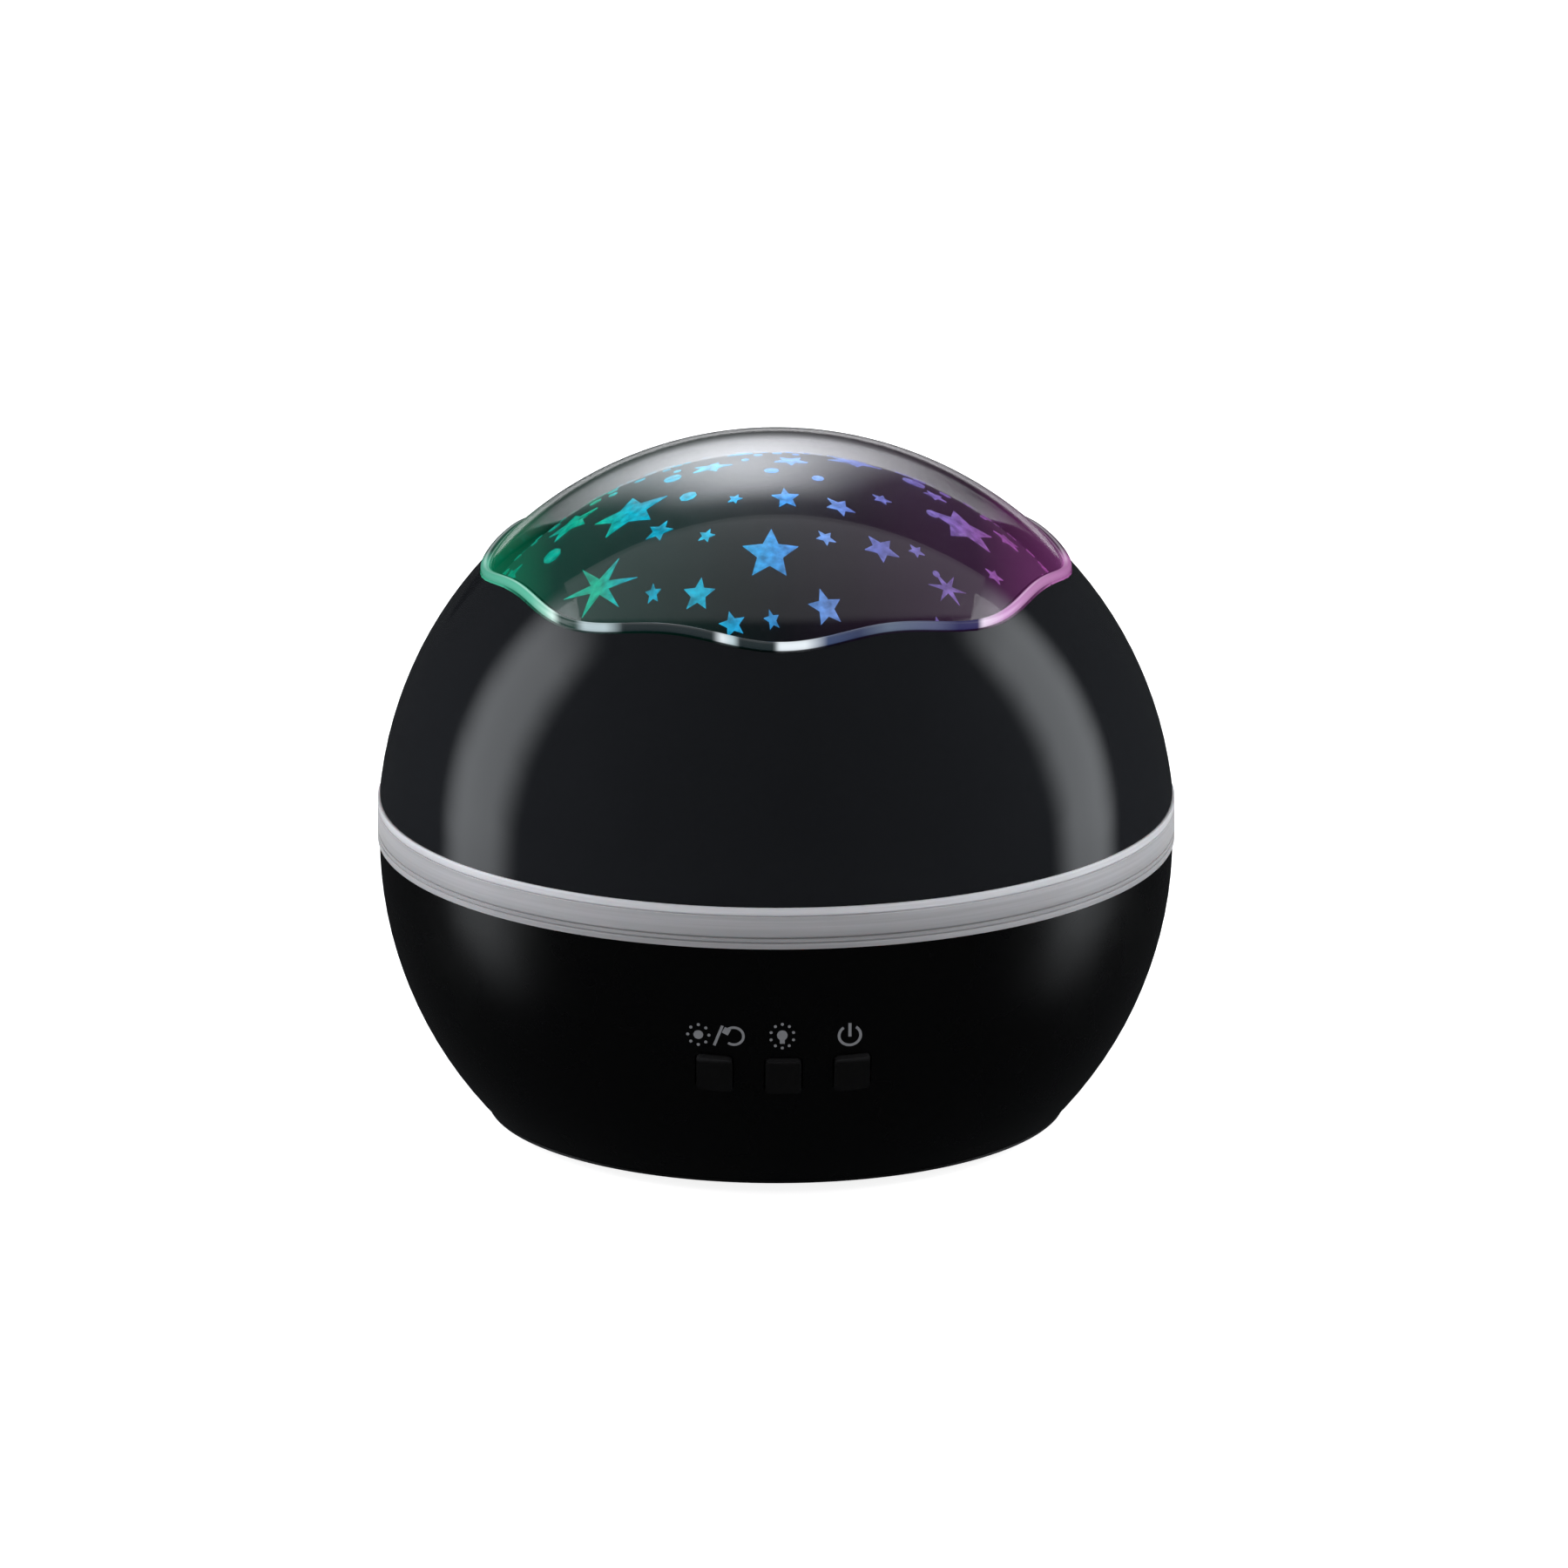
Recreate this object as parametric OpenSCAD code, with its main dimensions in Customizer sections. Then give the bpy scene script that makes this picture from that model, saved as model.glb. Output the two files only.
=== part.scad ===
// Star night light projector: a bowl-shaped base, a lift-off cover with a clear dome, and a
// star dome that turns on a geared tray around a fixed lamp. The buttons face -Y.

/* [Overall] */
// Height from the soles of the feet to the top of the clear dome
total_h = 113.5; // [112:0.5:115]
// Outside diameter of the trim ring
ring_d = 130; // [128:0.5:132]
// Height of the trim ring's lower edge
ring_z = 46.9; // [45.8:0.1:48]
// Height of the trim ring
ring_h = 6.9; // [6.6:0.1:7.6]
// Diameter of the lower shell's rim, where the bottom cover closes it
base_d = 94.4; // [93:0.2:96]
// Width of the slope around the bottom cover
base_slope = 5.8; // [4:0.1:6]
// How far the feet stand out under the bottom
foot_proud = 0.4; // [0.3:0.1:0.8]

/* [Cover] */
// Wall of the upper shell
cover_t = 2.4; // [2.2:0.1:2.8]
// Depth of the wavy seam below the top of the dome
seam_drop = 21; // [20:0.5:22]
// Mean radius of the wavy seam
seam_r = 47.4; // [46.8:0.1:48.2]
// Change of the seam's radius from its mean, which makes the waves
wave_a = 0.8; // [0.6:0.1:1.2]
// Number of waves around the seam
wave_n = 8; // [6:1:10]
// Wall of the clear dome
dome_t = 1.4; // [1.2:0.1:1.6]
// How far the dome's rim bead stands out
bead_proud = 0.7; // [0.4:0.1:1]
// Width of the rim bead
bead_w = 1.9; // [1.5:0.1:2.5]
// Width of the ledge that carries the dome's rim
lip_w = 2.6; // [2.2:0.1:3]
// Depth of the spigot that centres the cover in the trim ring
spigot_h = 2.4; // [1.8:0.1:2.6]
// Wall of that spigot
spigot_t = 1.5; // [1.2:0.1:1.7]

/* [Base] */
// Wall of the lower shell
shell_t = 2.4; // [2:0.1:2.8]
// How far the lower shell steps in from the trim ring
shell_step = 0.3; // [0.1:0.05:0.4]
// Thickness of the bottom cover
plate_t = 2; // [1.8:0.1:2.4]
// Wall of the trim ring
ring_t = 2.6; // [2.2:0.1:2.8]
// Width of the trim ring's inner flange
flange_w = 3.4; // [3:0.1:3.8]
// Thickness of that flange
flange_t = 2; // [1.6:0.1:2.2]
// Thickness of the deck plate
deck_t = 2.2; // [1.8:0.1:2.4]
// Diameter of a foot
foot_d = 7; // [6:0.1:7.6]
// Distance of the feet from the middle
foot_r = 36.6; // [36:0.1:37]

/* [Buttons] */
// Width of a button
button_w = 5.8; // [5:0.1:6.4]
// Height of a button
button_h = 6.4; // [5.6:0.1:7]
// Distance between the buttons
button_pitch = 11.1; // [10.6:0.1:11.8]
// Height of the buttons above the table
button_z = 24.5; // [23.5:0.1:26]
// How far a button stands out of the shell
button_proud = 0.9; // [0.7:0.1:1.2]
// Travel of a button
button_travel = 0.6; // [0.4:0.05:0.7]

/* [Drive] */
// Module of the gears
gear_m = 1.25; // [1.25]
// Teeth of the tray's inner ring gear
ring_teeth = 64; // [64]
// Teeth of the idler gear
idler_teeth = 16; // [16]
// Teeth of the drive pinion
pinion_teeth = 12; // [12:1:13]
// Width of the gear teeth
gear_t = 2.8; // [2.2:0.1:3]
// Radius of the motor shaft and of the idler's pin
shaft_r = 1.5; // [1.2:0.1:1.6]
// Outside radius of the collar that the tray turns on
collar_r = 12; // [11.5:0.1:12.5]
// Thickness of the tray
tray_t = 2; // [1.6:0.1:2.4]

/* [Star dome and lamp] */
// Thickness of the star dome's film
film_t = 0.6; // [0.5:0.1:0.8]
// Gap between the star dome and the clear dome
film_gap = 2.8; // [2.4:0.1:3.2]
// Height of the lamp board above the tray
lamp_h = 8; // [6:0.5:12]
// Radius of the lamp board
lamp_r = 12; // [11:0.5:14]
// Diameter of a light-emitting diode
led_d = 5; // [3:0.5:5]

/* [Battery well] */
// Diameter of an AAA cell
cell_d = 10.5; // [10.5]
// Length of an AAA cell with its nub
cell_l = 44.5; // [44.5]
// Distance between the cells
cell_pitch = 11.1; // [10.8:0.1:11.3]
// Wall of the battery well
well_t = 1.5; // [1.2:0.1:1.8]
// Depth of the contact springs
spring_l = 2.5; // [2:0.1:3]

/* [Fits] */
// Clearance between parts that slide on each other
slide_gap = 0.25; // [0.2:0.05:0.3]
// Clearance between parts that are glued or screwed together
fit_gap = 0.1; // [0.05:0.05:0.15]
// Clearance of a shaft in its bore
bore_gap = 0.05; // [0.03:0.01:0.1]

/* [Hidden] */
$fn = 96;
big = 200;
joint = 0.1;

// Heights, from the table up
base_z = foot_proud;
shell_z = base_z + plate_t;
ring_top = ring_z + ring_h;
deck_z = ring_z + flange_t;
deck_top = deck_z + deck_t;

// The lower shell is a ball's underside, cut off at the bottom cover
ring_r = ring_d / 2;
base_r = base_d / 2;
lower_r = ring_r - shell_step;
lower_cz = shell_z + sqrt(lower_r * lower_r - base_r * base_r);
inner_r = lower_r - shell_t;
ring_in = ring_r - ring_t;

// The upper shell is a ball through the seam, the clear dome a cap through the seam and the top
seam_z = total_h - seam_drop;
upper_cz = seam_z - sqrt(ring_r * ring_r - seam_r * seam_r);
dome_r = (seam_r * seam_r + seam_drop * seam_drop) / (2 * seam_drop);
dome_cz = total_h - dome_r;
spigot_r = ring_in - slide_gap;
wave_points = 96;

// Drive
gear_pa = 25;
gear_add = gear_m;
gear_ded = 1.2 * gear_m;
backlash = 0.12;
ring_pr = gear_m * ring_teeth / 2;
idler_pr = gear_m * idler_teeth / 2;
pinion_pr = gear_m * pinion_teeth / 2;
gear_rim = 2.5;
rail_w = 2;
hub_z = deck_top + 1;
gear_z = hub_z + 0.3;
tray_z = gear_z + gear_t + 0.4;
tray_top = tray_z + tray_t;
hub_t = 2.5;
collar_in = collar_r - 2;
idler_x = 0;
idler_y = ring_pr - idler_pr;
pinion_reach = 25;
pinion_turn = acos((pow(idler_y, 2) + pow(pinion_reach, 2) - pow(idler_pr + pinion_pr, 2))
  / (2 * idler_y * pinion_reach));
pinion_x = -pinion_reach * sin(pinion_turn);
pinion_y = pinion_reach * cos(pinion_turn);
mesh_angle = atan2(pinion_y - idler_y, pinion_x - idler_x);
pinion_phase = mesh_angle * (1 + idler_teeth / pinion_teeth) + 180 + 180 / pinion_teeth;
hub_r = 3.2;

// Star dome: a cap from the tray's edge that clears the cover's ledge and the clear dome
tray_gap = 0.8;
tray_r = spigot_r - spigot_t - tray_gap;
film_ledge_gap = 1.4;
film_ledge_r = seam_r - wave_a - lip_w - film_ledge_gap;
ledge_cz = (pow(film_ledge_r, 2) + pow(seam_z, 2) - pow(tray_r, 2) - pow(tray_top, 2))
  / (2 * (seam_z - tray_top));
under_ledge = ledge_cz + sqrt(pow(tray_r, 2) + pow(tray_top - ledge_cz, 2));
film_top = min(total_h - dome_t - film_gap, under_ledge);
film_h = film_top - tray_top;
film_r = (tray_r * tray_r + film_h * film_h) / (2 * film_h);
film_cz = film_top - film_r;
film_flange = 3;
retainer_h = 1.6;

// Lamp
lamp_z = tray_top + lamp_h;
post_r = 7.5;
post_bore = 5.5;
lamp_t = 1.2;
led_ring = lamp_r * 0.55;
led_h = 5.4;

// Buttons and their board, measured along the press axis from the middle of the ball
panel_tilt = asin((lower_cz - button_z) / lower_r);
pad_in = 2.6;
pad_w = 36;
pad_h = 13;
panel_w = inner_r - pad_in;
flange_edge = 0.9;
button_flange_t = 1;
button_corner = 0.8;
board_gap = 7.4;
board_w = panel_w - board_gap;
board_size = [44, 24, 1.6];
board_edge = 3.5;
board_hole = [board_size[0] / 2 - board_edge, board_size[1] / 2 - board_edge];
chip_size = [10, 6, 1.4];
capacitor = [5, 5];
plug_size = [8, 4, 4];
board_back = board_w - board_size[2];
plug_y = plug_size[1] / 2 + 1.5 - board_size[1] / 2;
switch_size = [6, 6, 3.4];
switch_recess = 1.3;
plunger_r = 1.7;
plunger_w = board_w + switch_size[2] - switch_recess + button_travel + 0.15;
plunger_l = 1.75;

// Battery well and its door
cell_r = cell_d / 2;
cell_z = shell_z + 0.4 + cell_r;
plate_contact = 0.4;
contact_half = 3.5;
leaf_t = 0.35;
leaf_w = 5;
well_x = 2 * cell_pitch + 0.2;
well_y = (cell_l + 2 * plate_contact + spring_l) / 2;
well_top = cell_z + cell_r + 0.3;
door_x = well_x + well_t + 1.1;
door_y = well_y + well_t + 1.6;
door_ear = 3.6;
door_screw_y = door_y + 3.4;
ledge_t = 1.5;
ledge_w = 2;
screw_r = 1.2;
head_r = 2.4;
head_t = 1.3;
door_boss_h = 7;

// Screws and posts
case_screw_inset = 9.3;
case_screw_r = base_r - case_screw_inset;
case_screw_angles = [65, 115, 245, 295];
case_post_h = 12.7;
case_post_top = shell_z + case_post_h;
case_stop = 4;
post_d = 6.4;
deck_screw_r = ring_in - flange_w - 4;
deck_bite = 6;
board_bite = 4;
clamp_bite = 1.2;
door_stop = 2;
deck_screw_angles = [45, 135, 225, 315];
rail_r = (ring_pr + gear_ded + gear_rim + deck_screw_r - head_r) / 2;
deck_rib = [19, 1.6, 2];
deck_rib_r = ring_pr - 5;
spigot_low_h = 3.6;
foot_sink = 0.8;
foot_angles = [30, 150, 210, 330];

// Power inlet, a small USB socket at the back
inlet_z = 17.8;
inlet_depth = 3.9;
inlet_mouth = sqrt(pow(lower_r, 2) - pow(lower_cz - inlet_z, 2)) - inlet_depth;
inlet_size = [7.6, 5.6, 2.8];
inlet_wall = 2;
inlet_pocket = [12, 8];
inlet_board_size = [14, 12, 1.2];
inlet_board_y = inlet_mouth - inlet_wall - 0.2 - inlet_board_size[1];
inlet_board_z = inlet_z - inlet_size[2] / 2 - inlet_board_size[2];
inlet_shelf_t = 1.6;

// Motor
gearbox_size = [12, 10, 9];
motor_l = 15;
gearbox_z = deck_z - gearbox_size[2];
motor_z = gearbox_z - motor_l;
clamp_t = 1.6;
clamp_h = 6;
clamp_ear = 5;
clamp_foot_t = 2;
clamp_hole = gearbox_size[0] / 2 + clamp_t + clamp_ear / 2;

// Leads, from what they feed to the plug on the control board
wire_r = 0.6;
lamp_wire_r = 0.8;
wire_sides = 8;
wire_steps = 2;
wire_up = 2;
plug_pitch = [1.6, 3.1];
cell_route = [[16.4, 27.6, 13.4], [15.6, 26.8, 16], [14.6, 23, 17.4], [12.5, 12, 17], [9.5, 0, 17],
  [6.8, -13, 18], [4.4, -25, 21.6]];
motor_route = [[-10, 16, 19.2], [-8.4, 7, 19.2], [-6, -6, 20.6], [-3.6, -19, 23.4], [-2.2, -28, 25]];
lamp_route = [[0, -0.5, 49], [0, -3.5, 41], [0, -10, 34], [0, -20, 29.4], [0, -28, 26.8]];
inlet_route = [[2.2, 38.4, 21.4], [3, 29, 22], [4, 15, 21.4], [4.4, 0, 21], [3.6, -13, 22], [2.4, -25, 24.8]];

// ---------- shared shapes ----------

// Half section of a hollow ball between two heights
module ball_band(outer, inner, centre, low, high) {
  intersection() {
    translate([0, centre]) difference() {
      circle(outer);
      circle(inner);
    }
    translate([0, low]) square([big, high - low]);
  }
}

// Half section of a ring
module ring_section(inner, outer, low, high) {
  translate([inner, low]) square([outer - inner, high - low]);
}

module rounded_rect(w, h, r) {
  square([w - 2 * r, h], center = true);
  square([w, h - 2 * r], center = true);
  for (x = [-1, 1], y = [-1, 1])
    translate([x * (w / 2 - r), y * (h / 2 - r)]) circle(r);
}

// Plan of the wavy seam, moved outwards by grow
function wave_radius(t, grow) = seam_r + grow + wave_a * cos(wave_n * t);
module wavy_outline(grow) {
  polygon([for (i = [0:wave_points - 1])
    let (t = 360 * i / wave_points) wave_radius(t, grow) * [sin(t), -cos(t)]]);
}

module wavy_prism(grow) {
  translate([0, 0, ring_top]) linear_extrude(total_h - ring_top + 1) wavy_outline(grow);
}

// Involute gear outline: half the tooth's angle at radius r
function involute(a) = tan(a) * 180 / PI - a;
function tooth_half(r, pr, n, thin) =
  90 / n + involute(gear_pa) - involute(acos(min(1, pr * cos(gear_pa) / r)))
  - thin / (2 * pr) * 180 / PI;
function flank(pr, n, add, ded, thin) =
  let (low = pr - ded, high = pr + add)
  [for (k = [0:3]) let (r = low + (high - low) * k / 3)
    [r, tooth_half(max(r, pr * cos(gear_pa)), pr, n, thin)]];
module gear_outline(n, add, ded, thin) {
  pr = gear_m * n / 2;
  f = flank(pr, n, add, ded, thin);
  polygon([for (i = [0:n - 1]) let (a = 360 * i / n) each concat(
    [for (k = [0:3]) f[k][0] * [cos(a - f[k][1]), sin(a - f[k][1])]],
    [for (k = [3:-1:0]) f[k][0] * [cos(a + f[k][1]), sin(a + f[k][1])]])]);
}

// Moves to the frame of the buttons: Z is the press axis, outwards, and Y runs up the shell
module on_panel() {
  translate([0, 0, lower_cz]) rotate([90 + panel_tilt, 0, 0]) children();
}

// Copies children at a radius and a list of angles
module around(radius, angles) {
  for (a = angles) rotate(a) translate([radius, 0, 0]) children();
}

// A round lead along a smooth curve through its route, square to the faces that it ends on
function unit(p) = p / norm(p);
function curve(a, b, c, d, t) = 0.5 * (2 * b + (c - a) * t + (2 * a - 5 * b + 4 * c - d) * pow(t, 2)
  + (3 * b - a - 3 * c + d) * pow(t, 3));
function smooth(route) = let (end = len(route) - 1) concat(
  [for (i = [0:end - 1], k = [0:wire_steps - 1])
    curve(route[max(i - 1, 0)], route[i], route[i + 1], route[min(i + 2, end)], k / wire_steps)],
  [route[end]]);
module lead(r, route) {
  path = smooth(route);
  last = len(path) - 1;
  n = wire_sides;
  ways = [for (i = [0:last]) unit(i == 0 ? route[1] - route[0]
    : i == last ? route[len(route) - 1] - route[len(route) - 2]
    : path[i + 1] - path[i - 1])];
  polyhedron(
    [for (i = [0:last]) let (up = unit(cross(ways[i], [1, 0, 0])), side = cross(ways[i], up))
      for (k = [0:n - 1]) path[i] + r * (cos(360 * k / n) * up + sin(360 * k / n) * side)],
    concat([[for (k = [0:n - 1]) k]], [[for (k = [n - 1:-1:0]) last * n + k]],
      [for (i = [0:last - 1], k = [0:n - 1]) let (a = i * n + k, b = i * n + (k + 1) % n)
        each [[a, a + n, b], [b, a + n, b + n]]]));
}

// A pan-head screw pointing up, with its head's underside at z = 0
module screw(length) {
  difference() {
    union() {
      translate([0, 0, -head_t]) cylinder(r = head_r, h = head_t);
      cylinder(r = screw_r, h = length);
    }
    translate([0, 0, -head_t]) for (a = [0, 90])
      rotate(a) cube([head_r * 1.3, 0.6, 1.2], center = true);
  }
}

module door_outline(grow) {
  square([2 * (door_x + grow), 2 * (door_y + grow)], center = true);
  for (s = [-1, 1]) {
    translate([0, s * door_screw_y]) circle(door_ear + grow);
    translate([0, s * (door_y + 1.7)]) square([2 * (door_ear + grow), 3.4], center = true);
  }
}

// ---------- base ----------

module lower_shell() {
  color([0.06, 0.06, 0.07]) difference() {
    union() {
      rotate_extrude() ball_band(lower_r, inner_r, lower_cz, shell_z, ring_z);
      intersection() {
        translate([0, 0, lower_cz]) sphere(lower_r - shell_t / 2);
        union() {
          on_panel() translate([-pad_w / 2, -pad_h / 2, panel_w]) cube([pad_w, pad_h, big]);
          on_panel() board_posts();
          around(deck_screw_r, deck_screw_angles) cylinder(d = post_d, h = deck_z);
          case_posts();
          translate([-inlet_pocket[0] / 2 - inlet_wall, inlet_mouth - inlet_wall,
            inlet_z - inlet_pocket[1] / 2 - inlet_wall])
            cube([inlet_pocket[0] + 2 * inlet_wall, big, inlet_pocket[1] + 2 * inlet_wall]);
          translate([-inlet_board_size[0] / 2, inlet_board_y, inlet_board_z - inlet_shelf_t])
            cube([inlet_board_size[0], big, inlet_shelf_t]);
        }
      }
    }
    on_panel() for (i = [-1:1]) translate([i * button_pitch, 0, panel_w - 1]) linear_extrude(big)
      rounded_rect(button_w + 2 * slide_gap, button_h + 2 * slide_gap, button_corner + slide_gap);
    on_panel() for (x = [-1, 1], y = [-1, 1])
      translate([x * board_hole[0], y * board_hole[1], board_w - 1])
        cylinder(r = screw_r, h = board_bite + 2);
    around(deck_screw_r, deck_screw_angles) translate([0, 0, deck_z - deck_bite - 2])
      cylinder(r = screw_r, h = deck_bite + 3);
    around(case_screw_r, case_screw_angles) cylinder(r = screw_r, h = case_post_top - case_stop + 1);
    translate([-inlet_pocket[0] / 2, inlet_mouth, inlet_z - inlet_pocket[1] / 2])
      cube([inlet_pocket[0], big, inlet_pocket[1]]);
    translate([-inlet_size[0] / 2 - slide_gap, 0, inlet_z - inlet_size[2] / 2 - slide_gap])
      cube([inlet_size[0] + 2 * slide_gap, big, inlet_size[2] + 2 * slide_gap]);
  }
}

module board_posts() {
  for (x = [-1, 1], y = [-1, 1])
    translate([x * board_hole[0], y * board_hole[1], board_w]) cylinder(d = 5, h = big);
}

// Posts for the screws from below, each on a web from the shell's wall
module case_posts() {
  low = shell_z + spigot_low_h + 0.4;
  around(case_screw_r, case_screw_angles) {
    translate([0, 0, shell_z]) cylinder(d = post_d, h = case_post_top - shell_z);
    translate([0, -1, low]) cube([big, 2, case_post_top - low]);
  }
}

module trim_ring() {
  groove = 0.3;
  color([0.78, 0.78, 0.8, 0.9]) rotate_extrude() difference() {
    union() {
      ring_section(ring_in, ring_r, ring_z, ring_top);
      ring_section(ring_in - flange_w, ring_in + 0.5, ring_z, deck_z);
    }
    for (z = [ring_z + 0.9, ring_z + 1.7, ring_top - 1.5])
      translate([ring_r - groove, z]) square([1, groove]);
  }
}

module bottom_cover() {
  rim = 0.4;
  spigot_out = sqrt(pow(inner_r, 2) - pow(lower_cz - shell_z, 2)) - slide_gap;
  color([0.07, 0.07, 0.08]) difference() {
    union() {
      rotate_extrude() {
        polygon([[0, base_z], [base_r - base_slope, base_z], [base_r, shell_z - rim],
          [base_r, shell_z], [0, shell_z]]);
        ring_section(spigot_out - 1.7, spigot_out, shell_z - 0.5, shell_z + spigot_low_h);
      }
      translate([0, 0, shell_z - 0.5]) linear_extrude(ledge_t + 0.5)
        door_outline(slide_gap + ledge_w);
      translate([-well_x - well_t, -well_y - well_t, shell_z])
        cube([2 * (well_x + well_t), 2 * (well_y + well_t), well_top + well_t - shell_z]);
      for (s = [-1, 1]) translate([0, s * door_screw_y, shell_z])
        cylinder(r = door_ear, h = door_boss_h);
      for (a = [0, 50, 130, 180, 230, 310]) rotate(a) translate([well_y + 1, -0.7, shell_z - 0.5])
        cube([spigot_out - well_y - 1.8, 1.4, 3]);
    }
    translate([0, 0, base_z - 1]) linear_extrude(plate_t + 1) door_outline(slide_gap);
    translate([-well_x, -well_y, base_z]) cube([2 * well_x, 2 * well_y, well_top - base_z]);
    for (s = [-1, 1]) translate([0, s * door_screw_y, shell_z - 1])
      cylinder(r = screw_r + bore_gap, h = door_boss_h);
    around(foot_r, foot_angles) translate([0, 0, base_z - 1])
      cylinder(r = foot_d / 2 + fit_gap, h = 1 + foot_sink);
    around(case_screw_r, case_screw_angles) {
      translate([0, 0, base_z - 1]) cylinder(r = head_r + slide_gap, h = 1 + head_t);
      cylinder(r = screw_r + slide_gap, h = big);
    }
    for (x = [cell_x(0), cell_x(3)]) translate([x, well_y - 1, cell_z + wire_up]) rotate([-90, 0, 0])
      cylinder(r = wire_r + slide_gap, h = well_t + 2);
  }
  color([0.07, 0.07, 0.08]) for (i = [-1:1], y = [-12, 12])
    translate([i * cell_pitch, y, cell_z + cell_r - 3]) cell_rib();
}

// A rib on the well's roof that keeps two cells apart
module cell_rib() {
  h = well_top - (cell_z + cell_r - 3) + 0.5;
  intersection() {
    translate([-cell_pitch / 2 + 1, -1.5, 0]) cube([cell_pitch - 2, 3, h]);
    difference() {
      translate([-big / 2, -1.5, 0]) cube([big, 3, h]);
      for (s = [-1, 1]) translate([s * cell_pitch / 2, 0, 3 - cell_r]) rotate([90, 0, 0])
        cylinder(r = cell_r + 0.3, h = big, center = true);
    }
  }
}

module deck_plate() {
  color([0.85, 0.85, 0.83]) difference() {
    union() {
      rotate_extrude() {
        ring_section(post_bore, ring_in - slide_gap, deck_z, deck_top);
        ring_section(collar_in, collar_r, deck_top - 0.5, tray_top);
        ring_section(collar_in, collar_r + hub_t, deck_top - 0.5, hub_z);
        ring_section(rail_r - rail_w / 2, rail_r + rail_w / 2, deck_top - 0.5, tray_z - fit_gap);
      }
      translate([idler_x, idler_y, deck_z]) cylinder(r = hub_r, h = gear_z - deck_z);
      for (a = [22.5:45:360]) rotate(a)
        translate([deck_rib_r, -deck_rib[1] / 2, deck_z - deck_rib[2]]) cube(deck_rib + [0, 0, 0.5]);
    }
    translate([idler_x, idler_y, deck_z + 0.6]) cylinder(r = shaft_r, h = big);
    translate([pinion_x, pinion_y, deck_z - 1]) cylinder(r = shaft_r + 1.2, h = big);
    around(deck_screw_r, deck_screw_angles) cylinder(r = screw_r + slide_gap, h = big);
    for (s = [-1, 1]) translate([pinion_x + s * clamp_hole, pinion_y, deck_z - 1])
      cylinder(r = screw_r, h = 1 + clamp_bite + 0.2);
  }
}

module foot(i) {
  edge = foot_proud / 2;
  color([0.12, 0.12, 0.12]) rotate(foot_angles[i]) translate([foot_r, 0, 0]) rotate_extrude()
    polygon([[0, 0], [foot_d / 2 - edge, 0], [foot_d / 2, edge],
      [foot_d / 2, foot_proud + foot_sink], [0, foot_proud + foot_sink]]);
}

module case_screws() {
  color([0.7, 0.7, 0.72]) around(case_screw_r, case_screw_angles)
    translate([0, 0, base_z + head_t]) screw(case_post_top - base_z - head_t - case_stop);
}

module deck_screws() {
  color([0.7, 0.7, 0.72]) around(deck_screw_r, deck_screw_angles)
    translate([0, 0, deck_top]) rotate([180, 0, 0]) screw(deck_t + deck_bite);
}

module clamp_screws() {
  color([0.7, 0.7, 0.72]) for (s = [-1, 1])
    translate([pinion_x + s * clamp_hole, pinion_y, deck_z - clamp_foot_t]) screw(clamp_foot_t + clamp_bite);
}

module board_screws() {
  color([0.7, 0.7, 0.72]) on_panel() for (x = [-1, 1], y = [-1, 1])
    translate([x * board_hole[0], y * board_hole[1], board_back]) screw(board_size[2] + board_bite);
}

// ---------- batteries ----------

function cell_x(i) = (i - 1.5) * cell_pitch;
function cell_way(i) = i % 2 == 0 ? 1 : -1;

module cell(i) {
  can_l = cell_l - 1;
  color([0.25, 0.45, 0.3]) translate([cell_x(i), 0, cell_z]) rotate([-90 * cell_way(i), 0, 0])
    translate([0, 0, well_y - plate_contact - cell_l]) rotate_extrude() {
      polygon([[0, 0], [cell_r - 0.6, 0], [cell_r - 0.2, 0.4], [cell_r - 0.2, 0.8], [cell_r - 0.05, 0.8],
        [cell_r - 0.05, can_l - 0.8], [cell_r - 0.4, can_l], [0, can_l]]);
      ring_section(0, 1.9, can_l - 0.1, cell_l);
    }
}

// Thin plates on both end walls; two cells share one where they are joined
module contact_plates() {
  single = 2 * contact_half + 1;
  joined = cell_pitch + single;
  color([0.8, 0.8, 0.78]) {
    for (x = [cell_x(0), cell_x(3)]) contact_plate(x, 1, single);
    contact_plate(0, 1, joined);
    for (s = [-1, 1]) contact_plate(s * cell_pitch, -1, joined);
  }
}

module contact_plate(x, side, w) {
  translate([x - w / 2, side > 0 ? well_y - plate_contact : -well_y, cell_z - contact_half])
    cube([w, plate_contact, 2 * contact_half]);
}

// Bent leaf springs that press on the cells' flat ends
module contact_springs() {
  reach = spring_l - leaf_t;
  end = contact_half - 0.3;
  bend = end - 2 * leaf_t;
  half = [[0, end], [0, bend - leaf_t], [-reach, leaf_t], [-spring_l, 2 * leaf_t],
    [-leaf_t, bend], [-leaf_t, end]];
  color([0.8, 0.8, 0.78]) for (i = [0:3]) {
    side = -cell_way(i);
    translate([cell_x(i) - leaf_w / 2, side * (well_y - plate_contact), cell_z])
      rotate([90, 0, 90]) linear_extrude(leaf_w)
        polygon([for (p = [half[0], half[1], half[2], [half[2][0], -half[2][1]],
          [half[1][0], -half[1][1]], [half[0][0], -half[0][1]],
          [half[5][0], -half[5][1]], [half[4][0], -half[4][1]], [half[3][0], -half[3][1]],
          half[3], half[4], half[5]]) [side * p[0], p[1]]]);
  }
}

// ---------- electronics ----------

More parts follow.
